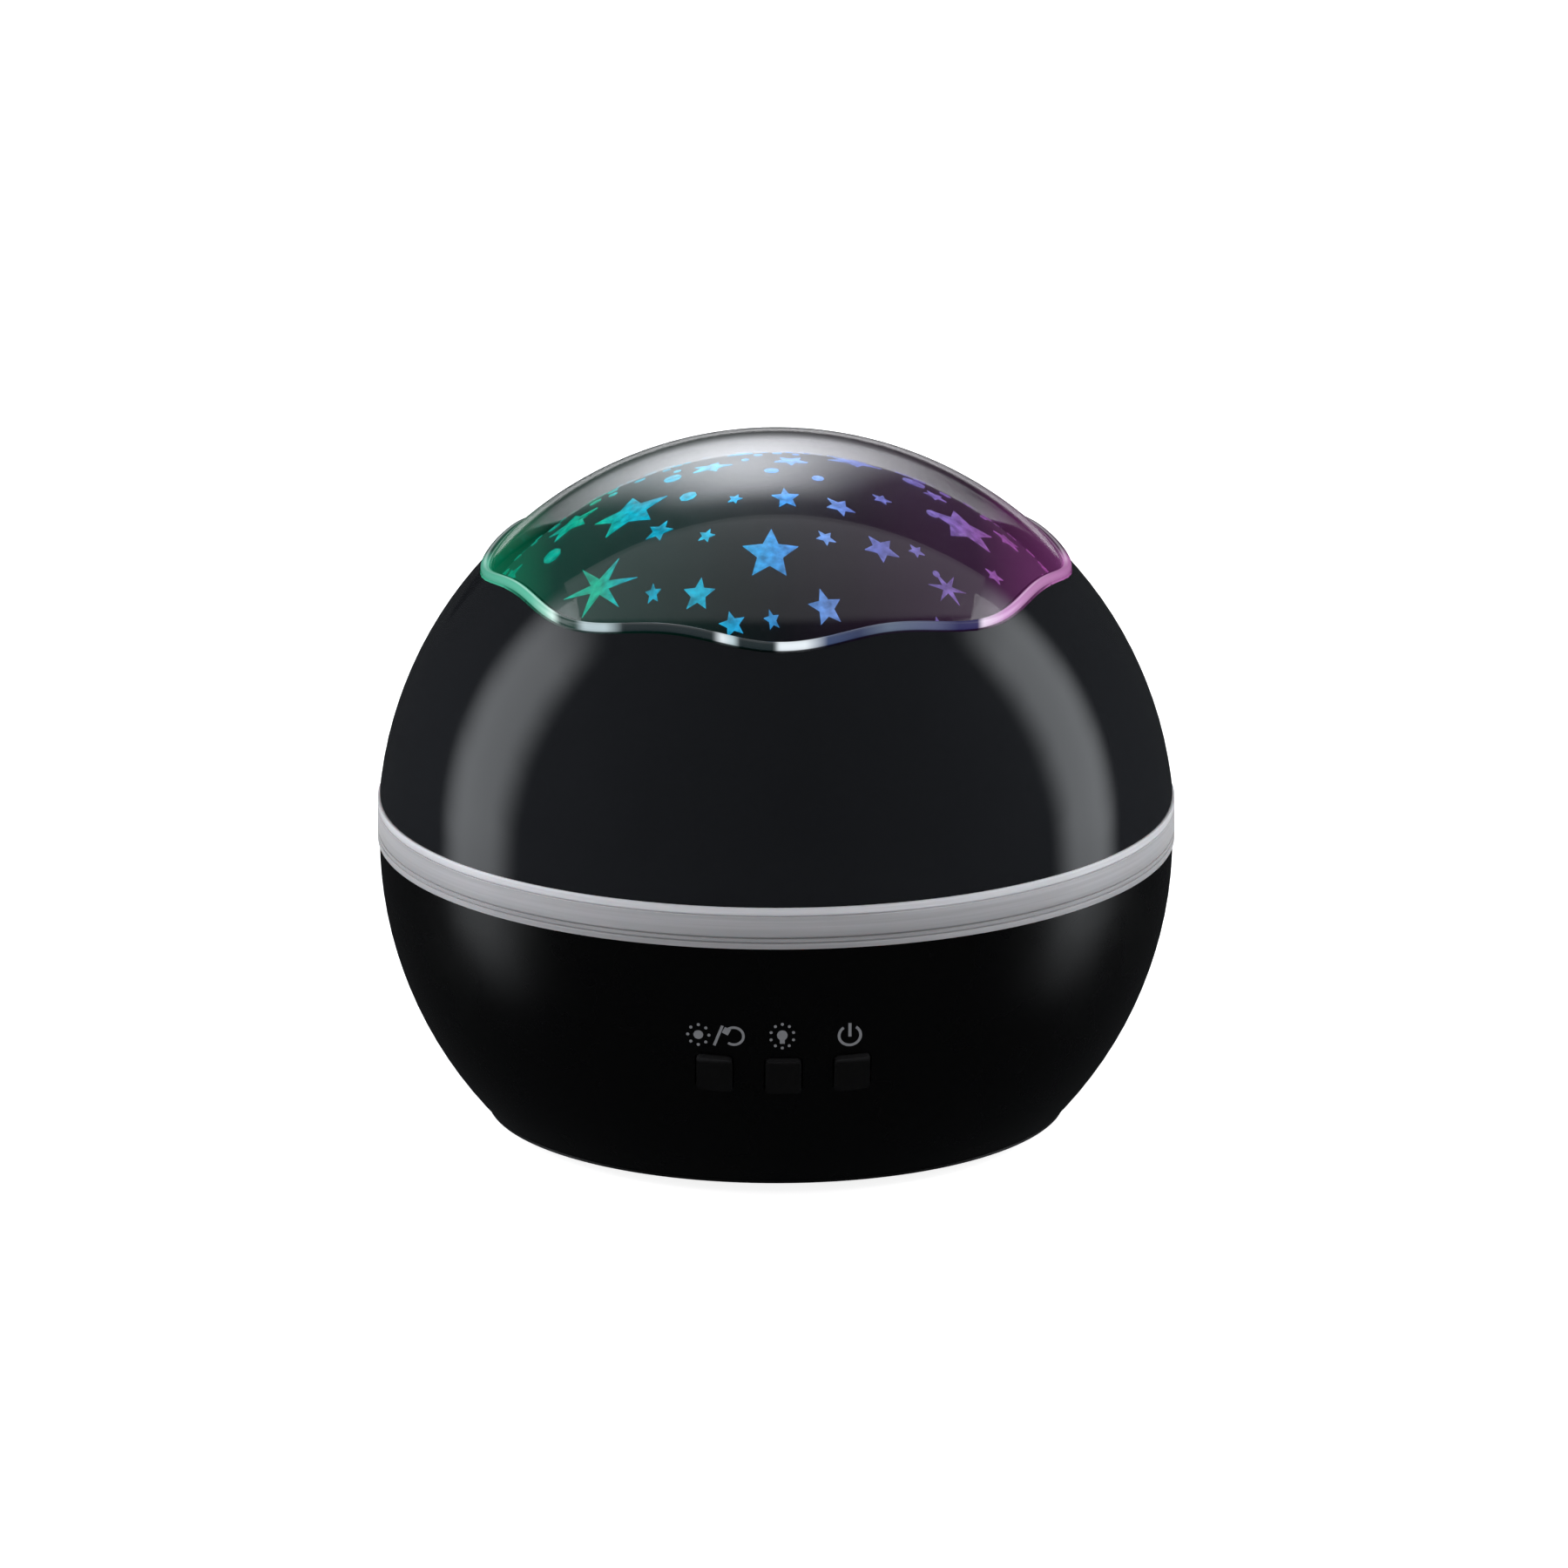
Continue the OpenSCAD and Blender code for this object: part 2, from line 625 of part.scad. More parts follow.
module control_board() {
  color([0.1, 0.4, 0.2]) on_panel() difference() {
    union() {
      translate([-board_size[0] / 2, -board_size[1] / 2, board_back]) cube(board_size);
      translate([-chip_size[0], -chip_size[1] / 2, board_back - chip_size[2]])
        cube(chip_size + [0, 0, joint]);
      translate([chip_size[0], 2, board_back - capacitor[1]])
        cylinder(d = capacitor[0], h = capacitor[1] + joint);
      translate([-plug_size[0] / 2, plug_y - plug_size[1] / 2, board_back - plug_size[2]])
        cube(plug_size + [0, 0, joint]);
    }
    for (x = [-1, 1], y = [-1, 1]) translate([x * board_hole[0], y * board_hole[1], 0])
      cylinder(r = screw_r + slide_gap, h = big);
  }
}

module tact_switch(i) {
  color([0.2, 0.2, 0.2]) on_panel() translate([(i - 1) * button_pitch, 0, board_w]) difference() {
    translate([-switch_size[0] / 2, -switch_size[1] / 2, 0]) cube(switch_size);
    translate([0, 0, switch_size[2] - switch_recess]) cylinder(r = plunger_r + bore_gap, h = big);
  }
}

module inlet_board() {
  color([0.1, 0.4, 0.2]) translate([-inlet_board_size[0] / 2, inlet_board_y, inlet_board_z])
    cube(inlet_board_size);
}

module power_inlet() {
  wall = 0.4;
  color([0.75, 0.75, 0.77]) translate([0, inlet_mouth - inlet_size[1], inlet_z]) {
    difference() {
      translate([-inlet_size[0] / 2, 0, -inlet_size[2] / 2]) cube(inlet_size);
      translate([-inlet_size[0] / 2 + wall, 1, -inlet_size[2] / 2 + wall])
        cube([inlet_size[0] - 2 * wall, big, inlet_size[2] - 2 * wall]);
    }
    translate([-2, 0.9, -0.3]) cube([4, inlet_size[1] - 1.4, 0.6]);
  }
}

// A place on the plug of the control board, at x across it and a distance off its back
function plug_at(x, off) = let (w = board_back - plug_size[2] - off)
  [x, -plug_y * sin(panel_tilt) - w * cos(panel_tilt),
    lower_cz + plug_y * cos(panel_tilt) - w * sin(panel_tilt)];
function to_plug(x) = [plug_at(x, 6), plug_at(x, 0)];

module cell_lead(s) {
  start = [cell_x(3), well_y, cell_z + wire_up];
  color(s > 0 ? [0.75, 0.1, 0.1] : [0.1, 0.1, 0.1]) lead(wire_r, concat(
    [for (p = concat([start, start + [0, well_t + 0.8, 0]], cell_route)) [s * p[0], p[1], p[2]]],
    to_plug(s * plug_pitch[1])));
}

module wire_motor() {
  start = [pinion_x + gearbox_size[0] / 3, pinion_y, motor_z];
  color([0.8, 0.7, 0.1])
    lead(wire_r, concat([start, start - [0, 0, 1.8]], motor_route, to_plug(-plug_pitch[0])));
}

module wire_lamp() {
  start = [0, 0, lamp_z];
  color([0.9, 0.9, 0.88]) lead(lamp_wire_r, concat([start, start - [0, 0, 6]], lamp_route, to_plug(0)));
}

module wire_inlet() {
  start = [2, inlet_board_y + 2, inlet_board_z + inlet_board_size[2]];
  color([0.15, 0.15, 0.16])
    lead(wire_r, concat([start, start + [0, 0, 2.4]], inlet_route, to_plug(plug_pitch[0])));
}

// ---------- drive ----------

module motor() {
  color([0.72, 0.72, 0.74]) translate([pinion_x, pinion_y, motor_z]) {
    intersection() {
      cylinder(r = gearbox_size[0] / 2, h = motor_l);
      translate([-big / 2, -gearbox_size[1] / 2, 0]) cube([big, gearbox_size[1], motor_l]);
    }
    translate([0, 0, -1.2]) cylinder(r = 2.4, h = 1.3);
  }
}

module gearbox() {
  color([0.8, 0.68, 0.35]) translate([pinion_x, pinion_y, gearbox_z]) difference() {
    for (z = [0, 2.8, 7.6]) translate([-gearbox_size[0] / 2, -gearbox_size[1] / 2, z])
      cube([gearbox_size[0], gearbox_size[1], z == 0 ? gearbox_size[2] : 1.4]);
    translate([0, 0, 3]) cylinder(r = shaft_r + bore_gap, h = big);
    for (s = [-1, 1]) translate([-big / 2, s * (gearbox_size[1] / 2 + 1) - 1.5, 4.2])
      cube([big, 3, 3.4]);
  }
}

module motor_clamp() {
  frame = [gearbox_size[0] + 2 * clamp_t, gearbox_size[1] + 2 * clamp_t];
  color([0.15, 0.15, 0.16]) translate([pinion_x, pinion_y, deck_z - clamp_h]) difference() {
    union() {
      translate([-frame[0] / 2, -frame[1] / 2, 0]) cube([frame[0], frame[1], clamp_h]);
      translate([-clamp_hole - clamp_ear / 2, -4, clamp_h - clamp_foot_t])
        cube([2 * clamp_hole + clamp_ear, 8, clamp_foot_t]);
    }
    translate([-gearbox_size[0] / 2 - fit_gap, -gearbox_size[1] / 2 - fit_gap, -1])
      cube([gearbox_size[0] + 2 * fit_gap, gearbox_size[1] + 2 * fit_gap, big]);
    for (s = [-1, 1]) translate([s * clamp_hole, 0, 0]) cylinder(r = screw_r + slide_gap, h = big);
  }
}

module idler_pin() {
  color([0.75, 0.75, 0.77]) translate([idler_x, idler_y, deck_z + 0.6])
    cylinder(r = shaft_r, h = tray_z - 0.3 - deck_z - 0.6);
}

module idler_gear() {
  color([0.95, 0.95, 0.9]) translate([idler_x, idler_y, gear_z]) difference() {
    linear_extrude(gear_t) gear_outline(idler_teeth, gear_add, gear_ded, backlash);
    cylinder(r = shaft_r + bore_gap, h = big, center = true);
    translate([0, 0, gear_t - 0.8]) difference() {
      cylinder(r = idler_pr - gear_ded - 1.2, h = 2);
      cylinder(r = hub_r, h = 5, center = true);
    }
  }
}

module drive_pinion() {
  color([0.95, 0.95, 0.9]) translate([pinion_x, pinion_y, gear_z]) difference() {
    union() {
      rotate(pinion_phase) linear_extrude(gear_t)
        gear_outline(pinion_teeth, gear_add, gear_ded, backlash);
      translate([0, 0, -0.9]) cylinder(r = hub_r, h = 1);
    }
    cylinder(r = shaft_r, h = big, center = true);
  }
}

module motor_shaft() {
  low = gearbox_z + 3.2;
  color([0.75, 0.75, 0.77]) translate([pinion_x, pinion_y, low])
    cylinder(r = shaft_r, h = gear_z + gear_t - low);
}

module turntable() {
  color([0.9, 0.9, 0.88]) {
    rotate_extrude() {
      ring_section(collar_r + bore_gap, tray_r, tray_z, tray_top);
      ring_section(collar_r + bore_gap, collar_r + hub_t, hub_z, tray_z + 0.5);
    }
    translate([0, 0, gear_z - 0.2]) linear_extrude(tray_z + 0.4 - gear_z) difference() {
      circle(ring_pr + gear_ded + gear_rim);
      gear_outline(ring_teeth, gear_ded, gear_add, -backlash);
    }
  }
}

// ---------- star dome and lamp ----------

module star_dome() {
  color([0.3, 0.3, 0.34, 0.8]) rotate_extrude() {
    ball_band(film_r, film_r - film_t, film_cz, tray_top, film_top + 1);
    ring_section(tray_r - film_flange - film_t, tray_r - film_t / 2, tray_top, tray_top + film_t);
  }
}

module dome_retainer() {
  outer = sqrt(pow(film_r - film_t, 2) - pow(tray_top + film_t + retainer_h - film_cz, 2)) - fit_gap;
  low = tray_top + film_t;
  color([0.2, 0.2, 0.21]) rotate_extrude() polygon([[outer - 4.6, low], [outer, low],
    [outer, low + retainer_h], [outer - 3.8, low + retainer_h], [outer - 4.6, low + retainer_h - 0.8]]);
}

module led_post() {
  color([0.93, 0.93, 0.93]) difference() {
    rotate_extrude() {
      ring_section(post_bore, collar_in - fit_gap, deck_top, deck_top + 2);
      ring_section(post_bore, post_r, deck_top, lamp_z);
      polygon([[post_r - 0.5, lamp_z - 5], [post_r, lamp_z - 5], [lamp_r - 0.5, lamp_z - 1.6],
        [lamp_r, lamp_z - 1.6], [lamp_r, lamp_z], [post_r - 0.5, lamp_z]]);
    }
    translate([0, 0, deck_top + 3]) for (a = [0, 90]) rotate(a) cube([big, 2.4, 4], center = true);
  }
}

module led_board() {
  color([0.9, 0.9, 0.85]) translate([0, 0, lamp_z]) cylinder(r = lamp_r, h = lamp_t);
}

module led(i) {
  shades = [[1, 1, 1], [1, 0.3, 0.3], [0.3, 1, 0.4], [0.35, 0.5, 1]];
  color(shades[i]) translate([0, 0, lamp_z + lamp_t]) rotate(45 + 90 * i) translate([led_ring, 0, 0])
    rotate_extrude() {
      ring_section(0, led_d / 2 + 0.4, 0, 1);
      ring_section(0, led_d / 2, 0, led_h - led_d / 2);
      intersection() {
        translate([0, led_h - led_d / 2]) circle(led_d / 2);
        translate([0, led_h - led_d / 2]) square(led_d);
      }
    }
}

// ---------- cover ----------

module upper_shell() {
  top = seam_z + 8;
  color([0.06, 0.06, 0.07]) difference() {
    rotate_extrude() {
      ball_band(ring_r, ring_r - cover_t, upper_cz, ring_top, top);
      ring_section(spigot_r - spigot_t, spigot_r, ring_top - spigot_h, ring_top + 2.4);
      ring_section(spigot_r - spigot_t, ring_r - cover_t + 0.8, ring_top, ring_top + 1.4);
    }
    difference() {
      wavy_prism(0);
      translate([0, 0, dome_cz]) sphere(dome_r - dome_t);
    }
    wavy_prism(-lip_w);
  }
}

module clear_dome() {
  color([0.85, 0.9, 0.92, 0.3]) difference() {
    union() {
      intersection() {
        translate([0, 0, dome_cz]) sphere(dome_r);
        wavy_prism(-fit_gap);
      }
      intersection() {
        translate([0, 0, dome_cz]) sphere(dome_r + bead_proud);
        difference() {
          wavy_prism(-fit_gap);
          wavy_prism(-fit_gap - bead_w);
        }
      }
    }
    translate([0, 0, dome_cz]) sphere(dome_r - dome_t);
  }
}

// ---------- buttons ----------

module button(i) {
  color([0.1, 0.1, 0.11]) on_panel() translate([(i - 1) * button_pitch, 0, 0]) {
    intersection() {
      translate([0, 0, panel_w - button_flange_t / 2]) linear_extrude(big)
        rounded_rect(button_w, button_h, button_corner);
      translate([-(i - 1) * button_pitch, 0, 0]) sphere(lower_r + button_proud);
    }
    translate([0, 0, panel_w - button_flange_t]) linear_extrude(button_flange_t)
      square([button_w + 2 * flange_edge, button_h + 2 * flange_edge], center = true);
    translate([0, 0, plunger_w + plunger_l])
      cylinder(r = 1.8, h = panel_w - button_flange_t / 2 - plunger_w - plunger_l);
  }
}

module plunger(i) {
  color([0.85, 0.85, 0.85]) on_panel() translate([(i - 1) * button_pitch, 0, plunger_w])
    cylinder(r = plunger_r, h = plunger_l);
}

// ---------- battery door ----------

module battery_door() {
  grip = [16, 1.2, 0.5];
  grip_pitch = 2.2;
  grip_y = 7 - door_y;
  color([0.08, 0.08, 0.09]) difference() {
    translate([0, 0, base_z]) linear_extrude(plate_t) door_outline(0);
    for (s = [-1, 1]) translate([0, s * door_screw_y, base_z]) {
      cylinder(r = screw_r + fit_gap, h = big, center = true);
      cylinder(r = head_r + fit_gap, h = 2 * head_t, center = true);
    }
    for (i = [-2:2]) translate([-grip[0] / 2, grip_y + grip_pitch * i - grip[1] / 2, base_z - 1])
      cube(grip + [0, 0, 1]);
  }
}

module door_screws() {
  color([0.7, 0.7, 0.72]) for (s = [-1, 1]) translate([0, s * door_screw_y, base_z + head_t])
    screw(plate_t - head_t + door_boss_h - door_stop);
}

lower_shell();
trim_ring();
bottom_cover();
deck_plate();
foot(0);  // foot_1
foot(1);  // foot_2
foot(2);  // foot_3
foot(3);  // foot_4
case_screws();
deck_screws();
board_screws();
clamp_screws();
cell(0);  // cell_1
cell(1);  // cell_2
cell(2);  // cell_3
cell(3);  // cell_4
contact_plates();
contact_springs();
control_board();
tact_switch(0);  // switch_1
tact_switch(1);  // switch_2
tact_switch(2);  // switch_3
inlet_board();
power_inlet();
motor();
gearbox();
motor_clamp();
idler_pin();
led_post();
led_board();
led(0);  // led_1
led(1);  // led_2
led(2);  // led_3
led(3);  // led_4
turntable();
star_dome();
dome_retainer();
idler_gear();
drive_pinion();
motor_shaft();
upper_shell();
clear_dome();
button(0);  // button_light
button(1);  // button_bulb
button(2);  // button_power
plunger(0);  // plunger_1
plunger(1);  // plunger_2
plunger(2);  // plunger_3
battery_door();
door_screws();
cell_lead(1);  // wire_plus
cell_lead(-1);  // wire_minus
wire_motor();
wire_lamp();
wire_inlet();
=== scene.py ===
"""Looks of the star night light projector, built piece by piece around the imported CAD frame."""
import math
import random

import bmesh
import bpy
from mathutils import Matrix, Vector


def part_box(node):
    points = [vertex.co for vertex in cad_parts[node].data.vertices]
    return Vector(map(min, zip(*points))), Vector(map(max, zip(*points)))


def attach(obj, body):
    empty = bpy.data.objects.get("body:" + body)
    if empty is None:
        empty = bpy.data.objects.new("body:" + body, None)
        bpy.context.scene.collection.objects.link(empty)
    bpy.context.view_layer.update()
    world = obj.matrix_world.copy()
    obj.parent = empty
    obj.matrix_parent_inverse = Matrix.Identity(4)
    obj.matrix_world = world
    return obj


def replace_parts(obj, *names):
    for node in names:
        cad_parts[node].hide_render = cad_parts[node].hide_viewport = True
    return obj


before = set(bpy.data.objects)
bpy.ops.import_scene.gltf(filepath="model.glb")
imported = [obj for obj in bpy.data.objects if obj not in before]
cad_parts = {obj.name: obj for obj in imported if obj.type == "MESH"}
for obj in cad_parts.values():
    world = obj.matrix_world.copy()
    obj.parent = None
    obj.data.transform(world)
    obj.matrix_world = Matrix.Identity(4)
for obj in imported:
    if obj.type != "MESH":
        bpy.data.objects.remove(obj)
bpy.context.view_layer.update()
MM = 0.001

# ---------------------------------------------------------------------------------------------
# Studio: a white room with a pale floor. Two tall soft boxes stand left and right, a dim one
# hangs overhead and a small one is behind; black flags keep the room out of the gloss shells.


def node(tree, kind, inputs=None, **settings):
    """Adds a node, with its settings and its unlinked inputs."""
    made = tree.nodes.new(kind)
    for name, value in settings.items():
        setattr(made, name, value)
    for name, value in (inputs or {}).items():
        made.inputs[name].default_value = value
    return made


def join(tree, *pairs):
    """Links outputs to inputs, pair by pair."""
    for output, entry in pairs:
        tree.links.new(output, entry)


def math_node(tree, operation, first, second=None, clamp=False):
    """A sum on numbers and on the outputs of other nodes."""
    made = node(tree, "ShaderNodeMath", operation=operation, use_clamp=clamp)
    for at, value in enumerate((first, second)):
        if isinstance(value, (int, float)):
            made.inputs[at].default_value = value
        elif value is not None:
            tree.links.new(value, made.inputs[at])
    return made.outputs[0]


def rescale(tree, value, span, onto=(0.0, 1.0), kind="LINEAR"):
    """Carries a value from one span onto another, and holds it at the ends."""
    made = node(tree, "ShaderNodeMapRange", {"From Min": span[0], "From Max": span[1],
                                             "To Min": onto[0], "To Max": onto[1]},
                interpolation_type=kind)
    tree.links.new(value, made.inputs["Value"])
    return made.outputs[0]


def empty_material(name):
    mat = bpy.data.materials.new(name)
    mat.use_nodes = True
    mat.node_tree.nodes.clear()
    return mat, mat.node_tree, node(mat.node_tree, "ShaderNodeOutputMaterial")


def placed(name, data):
    made = bpy.data.objects.new(name, data)
    bpy.context.scene.collection.objects.link(made)
    return made


def flat_piece(name, points, faces):
    mesh = bpy.data.meshes.new(name)
    mesh.from_pydata([Vector(p) for p in points], [], faces)
    return placed(name, mesh)


def sees(piece, camera=False, glossy=False, diffuse=False, transmission=False, shadow=False):
    """Which rays meet a stage piece."""
    piece.visible_camera = camera
    piece.visible_glossy = glossy
    piece.visible_diffuse = diffuse
    piece.visible_transmission = transmission
    piece.visible_shadow = shadow


BOX_LEAN = Matrix.Rotation(math.radians(-2.9), 4, "X")
BOX_ROWS = 8


def soft_box(name, low_edge, high_edge, strength, colour, fade):
    """A cloth-fronted lamp between two edges of equal length. fade is how far the light takes to
    build up from the left, right, lower and upper edge, as a share of the panel."""
    columns = len(low_edge)
    points = [BOX_LEAN @ Vector(low).lerp(Vector(high), k / BOX_ROWS)
              for k in range(BOX_ROWS + 1) for low, high in zip(low_edge, high_edge)]
    spots = [(i / (columns - 1), k / BOX_ROWS) for k in range(BOX_ROWS + 1) for i in range(columns)]
    corners = [k * columns + i for k in range(BOX_ROWS) for i in range(columns - 1)]
    panel = flat_piece(name, points, [(a, a + 1, a + columns + 1, a + columns) for a in corners])
    layer = panel.data.uv_layers.new(name="panel")
    for loop in panel.data.loops:
        layer.data[loop.index].uv = spots[loop.vertex_index]
    mat, tree, out = empty_material(name)
    place = node(tree, "ShaderNodeUVMap", uv_map="panel")
    split = node(tree, "ShaderNodeSeparateXYZ")
    level = strength
    for axis, near, far in (("X", fade[0], fade[1]), ("Y", fade[2], fade[3])):
        for span in ((0.0, near), (1.0, 1.0 - far)):
            ramp = rescale(tree, split.outputs[axis], span, kind="SMOOTHSTEP")
            level = math_node(tree, "MULTIPLY", ramp, level)
    light = node(tree, "ShaderNodeEmission", {"Color": (*colour, 1)})
    join(tree, (place.outputs["UV"], split.inputs[0]), (level, light.inputs["Strength"]),
         (light.outputs[0], out.inputs["Surface"]))
    panel.data.materials.append(mat)
    sees(panel, glossy=True, diffuse=True, transmission=True)


CAMERA_AZIMUTH = math.radians(-1.1)
CAMERA_ELEVATION = math.radians(16.4)
FRAME_WIDTH = 255.7 * MM
LOOKS_AT = Vector((1.28 * MM, 0, 55.5 * MM))
camera_data = bpy.data.cameras.new("camera")
camera_data.lens = 600
camera_data.clip_end = 20
away = FRAME_WIDTH * camera_data.lens / camera_data.sensor_width
back = Vector((math.sin(CAMERA_AZIMUTH) * math.cos(CAMERA_ELEVATION),
               -math.cos(CAMERA_AZIMUTH) * math.cos(CAMERA_ELEVATION), math.sin(CAMERA_ELEVATION)))
camera = placed("camera", camera_data)
camera.location = LOOKS_AT + back * away
camera.rotation_euler = (-back).to_track_quat("-Z", "Y").to_euler()
bpy.context.scene.camera = camera
bpy.context.scene.view_settings.view_transform = "Standard"

ROOM_FILL = 0.50
room = bpy.data.worlds.new("room")
bpy.context.scene.world = room
room.use_nodes = True
tree = room.node_tree
tree.nodes.clear()
path = node(tree, "ShaderNodeLightPath")
seen = math_node(tree, "ADD", path.outputs["Is Camera Ray"], path.outputs["Is Glossy Ray"], clamp=True)
seen = math_node(tree, "ADD", seen, path.outputs["Is Transmission Ray"], clamp=True)
air = node(tree, "ShaderNodeBackground", {"Color": (1, 1, 1, 1)})
join(tree, (rescale(tree, seen, (0.0, 1.0), (ROOM_FILL, 1.0)), air.inputs["Strength"]),
     (air.outputs[0], node(tree, "ShaderNodeOutputWorld").inputs[0]))

FLOOR_HALF = 4.0
FLOOR_LIFT = 0.85
floor = flat_piece("floor", [(-FLOOR_HALF, -FLOOR_HALF, 0), (FLOOR_HALF, -FLOOR_HALF, 0),
                             (FLOOR_HALF, FLOOR_HALF, 0), (-FLOOR_HALF, FLOOR_HALF, 0)],
                   [(0, 1, 2, 3)])
mat, tree, out = empty_material("floor")
paper = node(tree, "ShaderNodeBsdfDiffuse", {"Color": (0.85, 0.85, 0.86, 1)})
lift = node(tree, "ShaderNodeEmission", {"Color": (1, 1, 1, 1)})
path = node(tree, "ShaderNodeLightPath")
seen = math_node(tree, "ADD", path.outputs["Is Camera Ray"], path.outputs["Is Transmission Ray"],
                 clamp=True)
both = node(tree, "ShaderNodeAddShader")
under = node(tree, "ShaderNodeMixShader")
join(tree, (math_node(tree, "MULTIPLY", seen, FLOOR_LIFT), lift.inputs["Strength"]),
     (paper.outputs[0], both.inputs[0]), (lift.outputs[0], both.inputs[1]),
     (node(tree, "ShaderNodeNewGeometry").outputs["Backfacing"], under.inputs[0]),
     (both.outputs[0], under.inputs[1]),
     (node(tree, "ShaderNodeBsdfTransparent").outputs[0], under.inputs[2]),
     (under.outputs[0], out.inputs["Surface"]))
floor.data.materials.append(mat)
sees(floor, camera=True, diffuse=True, transmission=True, shadow=True)

SIDE_AWAY = 0.9
SIDE_LOW = -0.60
SIDE_HIGH = 1.15
SIDE_LEAN = 0.44
LAMP_AIM = Vector((0, 0, 0.05))
for side, front, rear in ((-1, -0.21, 0.24), (1, -0.14, 0.27)):
    x = side * SIDE_AWAY
    soft_box(f"side_box_{side}", [(x, front, SIDE_LOW), (x, rear, SIDE_LOW)],
             [(x, front, SIDE_HIGH), (x, rear + SIDE_LEAN, SIDE_HIGH)],
             strength=2.15, colour=(0.92, 0.96, 1.0), fade=(0.34, 0.42, 0.40, 0.27))
    lamp_data = bpy.data.lights.new(f"side_lamp_{side}", "AREA")
    lamp_data.shape = "RECTANGLE"
    lamp_data.size = 0.7
    lamp_data.size_y = 1.2
    lamp_data.energy = 8.5
    lamp = placed(lamp_data.name, lamp_data)
    lamp.location = (side * 1.0, 0.1, 0.3)
    lamp.rotation_euler = (LAMP_AIM - lamp.location).to_track_quat("-Z", "Y").to_euler()
    lamp.visible_glossy = False

# The overhead box is bent, so that its edges show as arcs: each edge is a parabola over X.
TOP_Z = 0.95
TOP_HALF = 1.25
TOP_STEPS = 24
TOP_FRONT, TOP_FRONT_BEND = -0.33, 0.62
TOP_REAR, TOP_REAR_BEND = 0.363, 0.31
ways = [TOP_HALF * (2 * i / TOP_STEPS - 1) for i in range(TOP_STEPS + 1)]
soft_box("top_box", [(x, TOP_FRONT + TOP_FRONT_BEND * x * x, TOP_Z) for x in ways],
         [(x, TOP_REAR + TOP_REAR_BEND * x * x, TOP_Z) for x in ways],
         strength=0.45, colour=(0.96, 0.97, 1.0), fade=(0.15, 0.15, 0.1, 0.01))
soft_box("rear_box", [(-0.52, 1.13, 0.11), (0.38, 1.13, 0.11)],
         [(-0.46, 0.68, 1.32), (0.32, 0.68, 1.32)],
         strength=2.2, colour=(0.94, 0.96, 1.0), fade=(0.5, 0.5, 0.6, 0.3))

FLAGS_AWAY = 3.0
flags_mesh = bpy.data.meshes.new("flags")
shell = bmesh.new()
bmesh.ops.create_icosphere(shell, subdivisions=3, radius=FLAGS_AWAY)
shell.to_mesh(flags_mesh)
shell.free()
mat, tree, out = empty_material("flags")
velvet = node(tree, "ShaderNodeEmission", {"Color": (0.9, 0.95, 1.0, 1), "Strength": 0.022})
tree.links.new(velvet.outputs[0], out.inputs["Surface"])
flags_mesh.materials.append(mat)
sees(placed("flags", flags_mesh), glossy=True, transmission=True)

# ---------------------------------------------------------------------------------------------
# Lower shell: the bowl of the base, moulded in black ABS with a satin finish. The buttons sit in
# its front and the power inlet in its back, and a cover closes it from below.

NOISE_SPAN = (0.3, 0.7)
GRAIN_DEPTH = 0.05 * MM
MIX_FIRST, MIX_SECOND, MIX_RESULT = 6, 7, 2  # a colour mix's sockets


def plastic(name, colour, rough, spread=0.04, grain=900.0, bump=0.0, tint=0.12, **sockets):
    """Moulded plastic: its colour and gloss vary a little, and the mould's texture is a bump."""
    mat, tree, out = empty_material(name)
    body = node(tree, "ShaderNodeBsdfPrincipled", {
        "Base Color": (*colour, 1), **{label.replace("_", " "): v for label, v in sockets.items()}})
    place = node(tree, "ShaderNodeTexCoord")
    cloud = node(tree, "ShaderNodeTexNoise", {"Scale": 60.0, "Detail": 3.0, "Roughness": 0.6})
    shade = node(tree, "ShaderNodeMix", {
        MIX_FIRST: (*(c * (1 - tint) for c in colour), 1),
        MIX_SECOND: (*(min(1, c * (1 + tint)) for c in colour), 1)}, data_type="RGBA")
    gloss = rescale(tree, cloud.outputs["Fac"], NOISE_SPAN, (rough - spread, rough + spread))
    join(tree, (place.outputs["Object"], cloud.inputs["Vector"]),
         (cloud.outputs["Fac"], shade.inputs[0]),
         (shade.outputs[MIX_RESULT], body.inputs["Base Color"]),
         (gloss, body.inputs["Roughness"]), (body.outputs[0], out.inputs["Surface"]))
    if bump:
        fine = node(tree, "ShaderNodeTexNoise", {"Scale": grain, "Detail": 2.0})
        raised = node(tree, "ShaderNodeBump", {"Strength": bump, "Distance": GRAIN_DEPTH})
        join(tree, (place.outputs["Object"], fine.inputs["Vector"]),
             (fine.outputs["Fac"], raised.inputs["Height"]), (raised.outputs[0], body.inputs["Normal"]))
    return mat


def dress(mat, *names):
    """Gives CAD nodes their finish."""
    for name in names:
        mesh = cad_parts[name].data
        mesh.materials.clear()
        mesh.materials.append(mat)


dress(plastic("satin_black_abs", (0.0012, 0.0012, 0.0014), 0.27, bump=0.06, grain=1500.0,
              Specular_IOR_Level=0.45), "lower_shell")

# ---------------------------------------------------------------------------------------------
# Symbols: pad-printed in grey ink on the bowl's front, one over each button, for the turning
# stars, the lamp and the power. Sizes of the strokes are in mm, from the middle of the front.

BOWL_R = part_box("lower_shell")[1].x
BOWL_Z = 46.65 * MM
SYMBOL_Z = 31.6
PRINT_RISE = 0.04
PRINT_DEPTH = 0.06
DOT_CUT = 0.12  # what is cut off a dot at its two tips, in steps


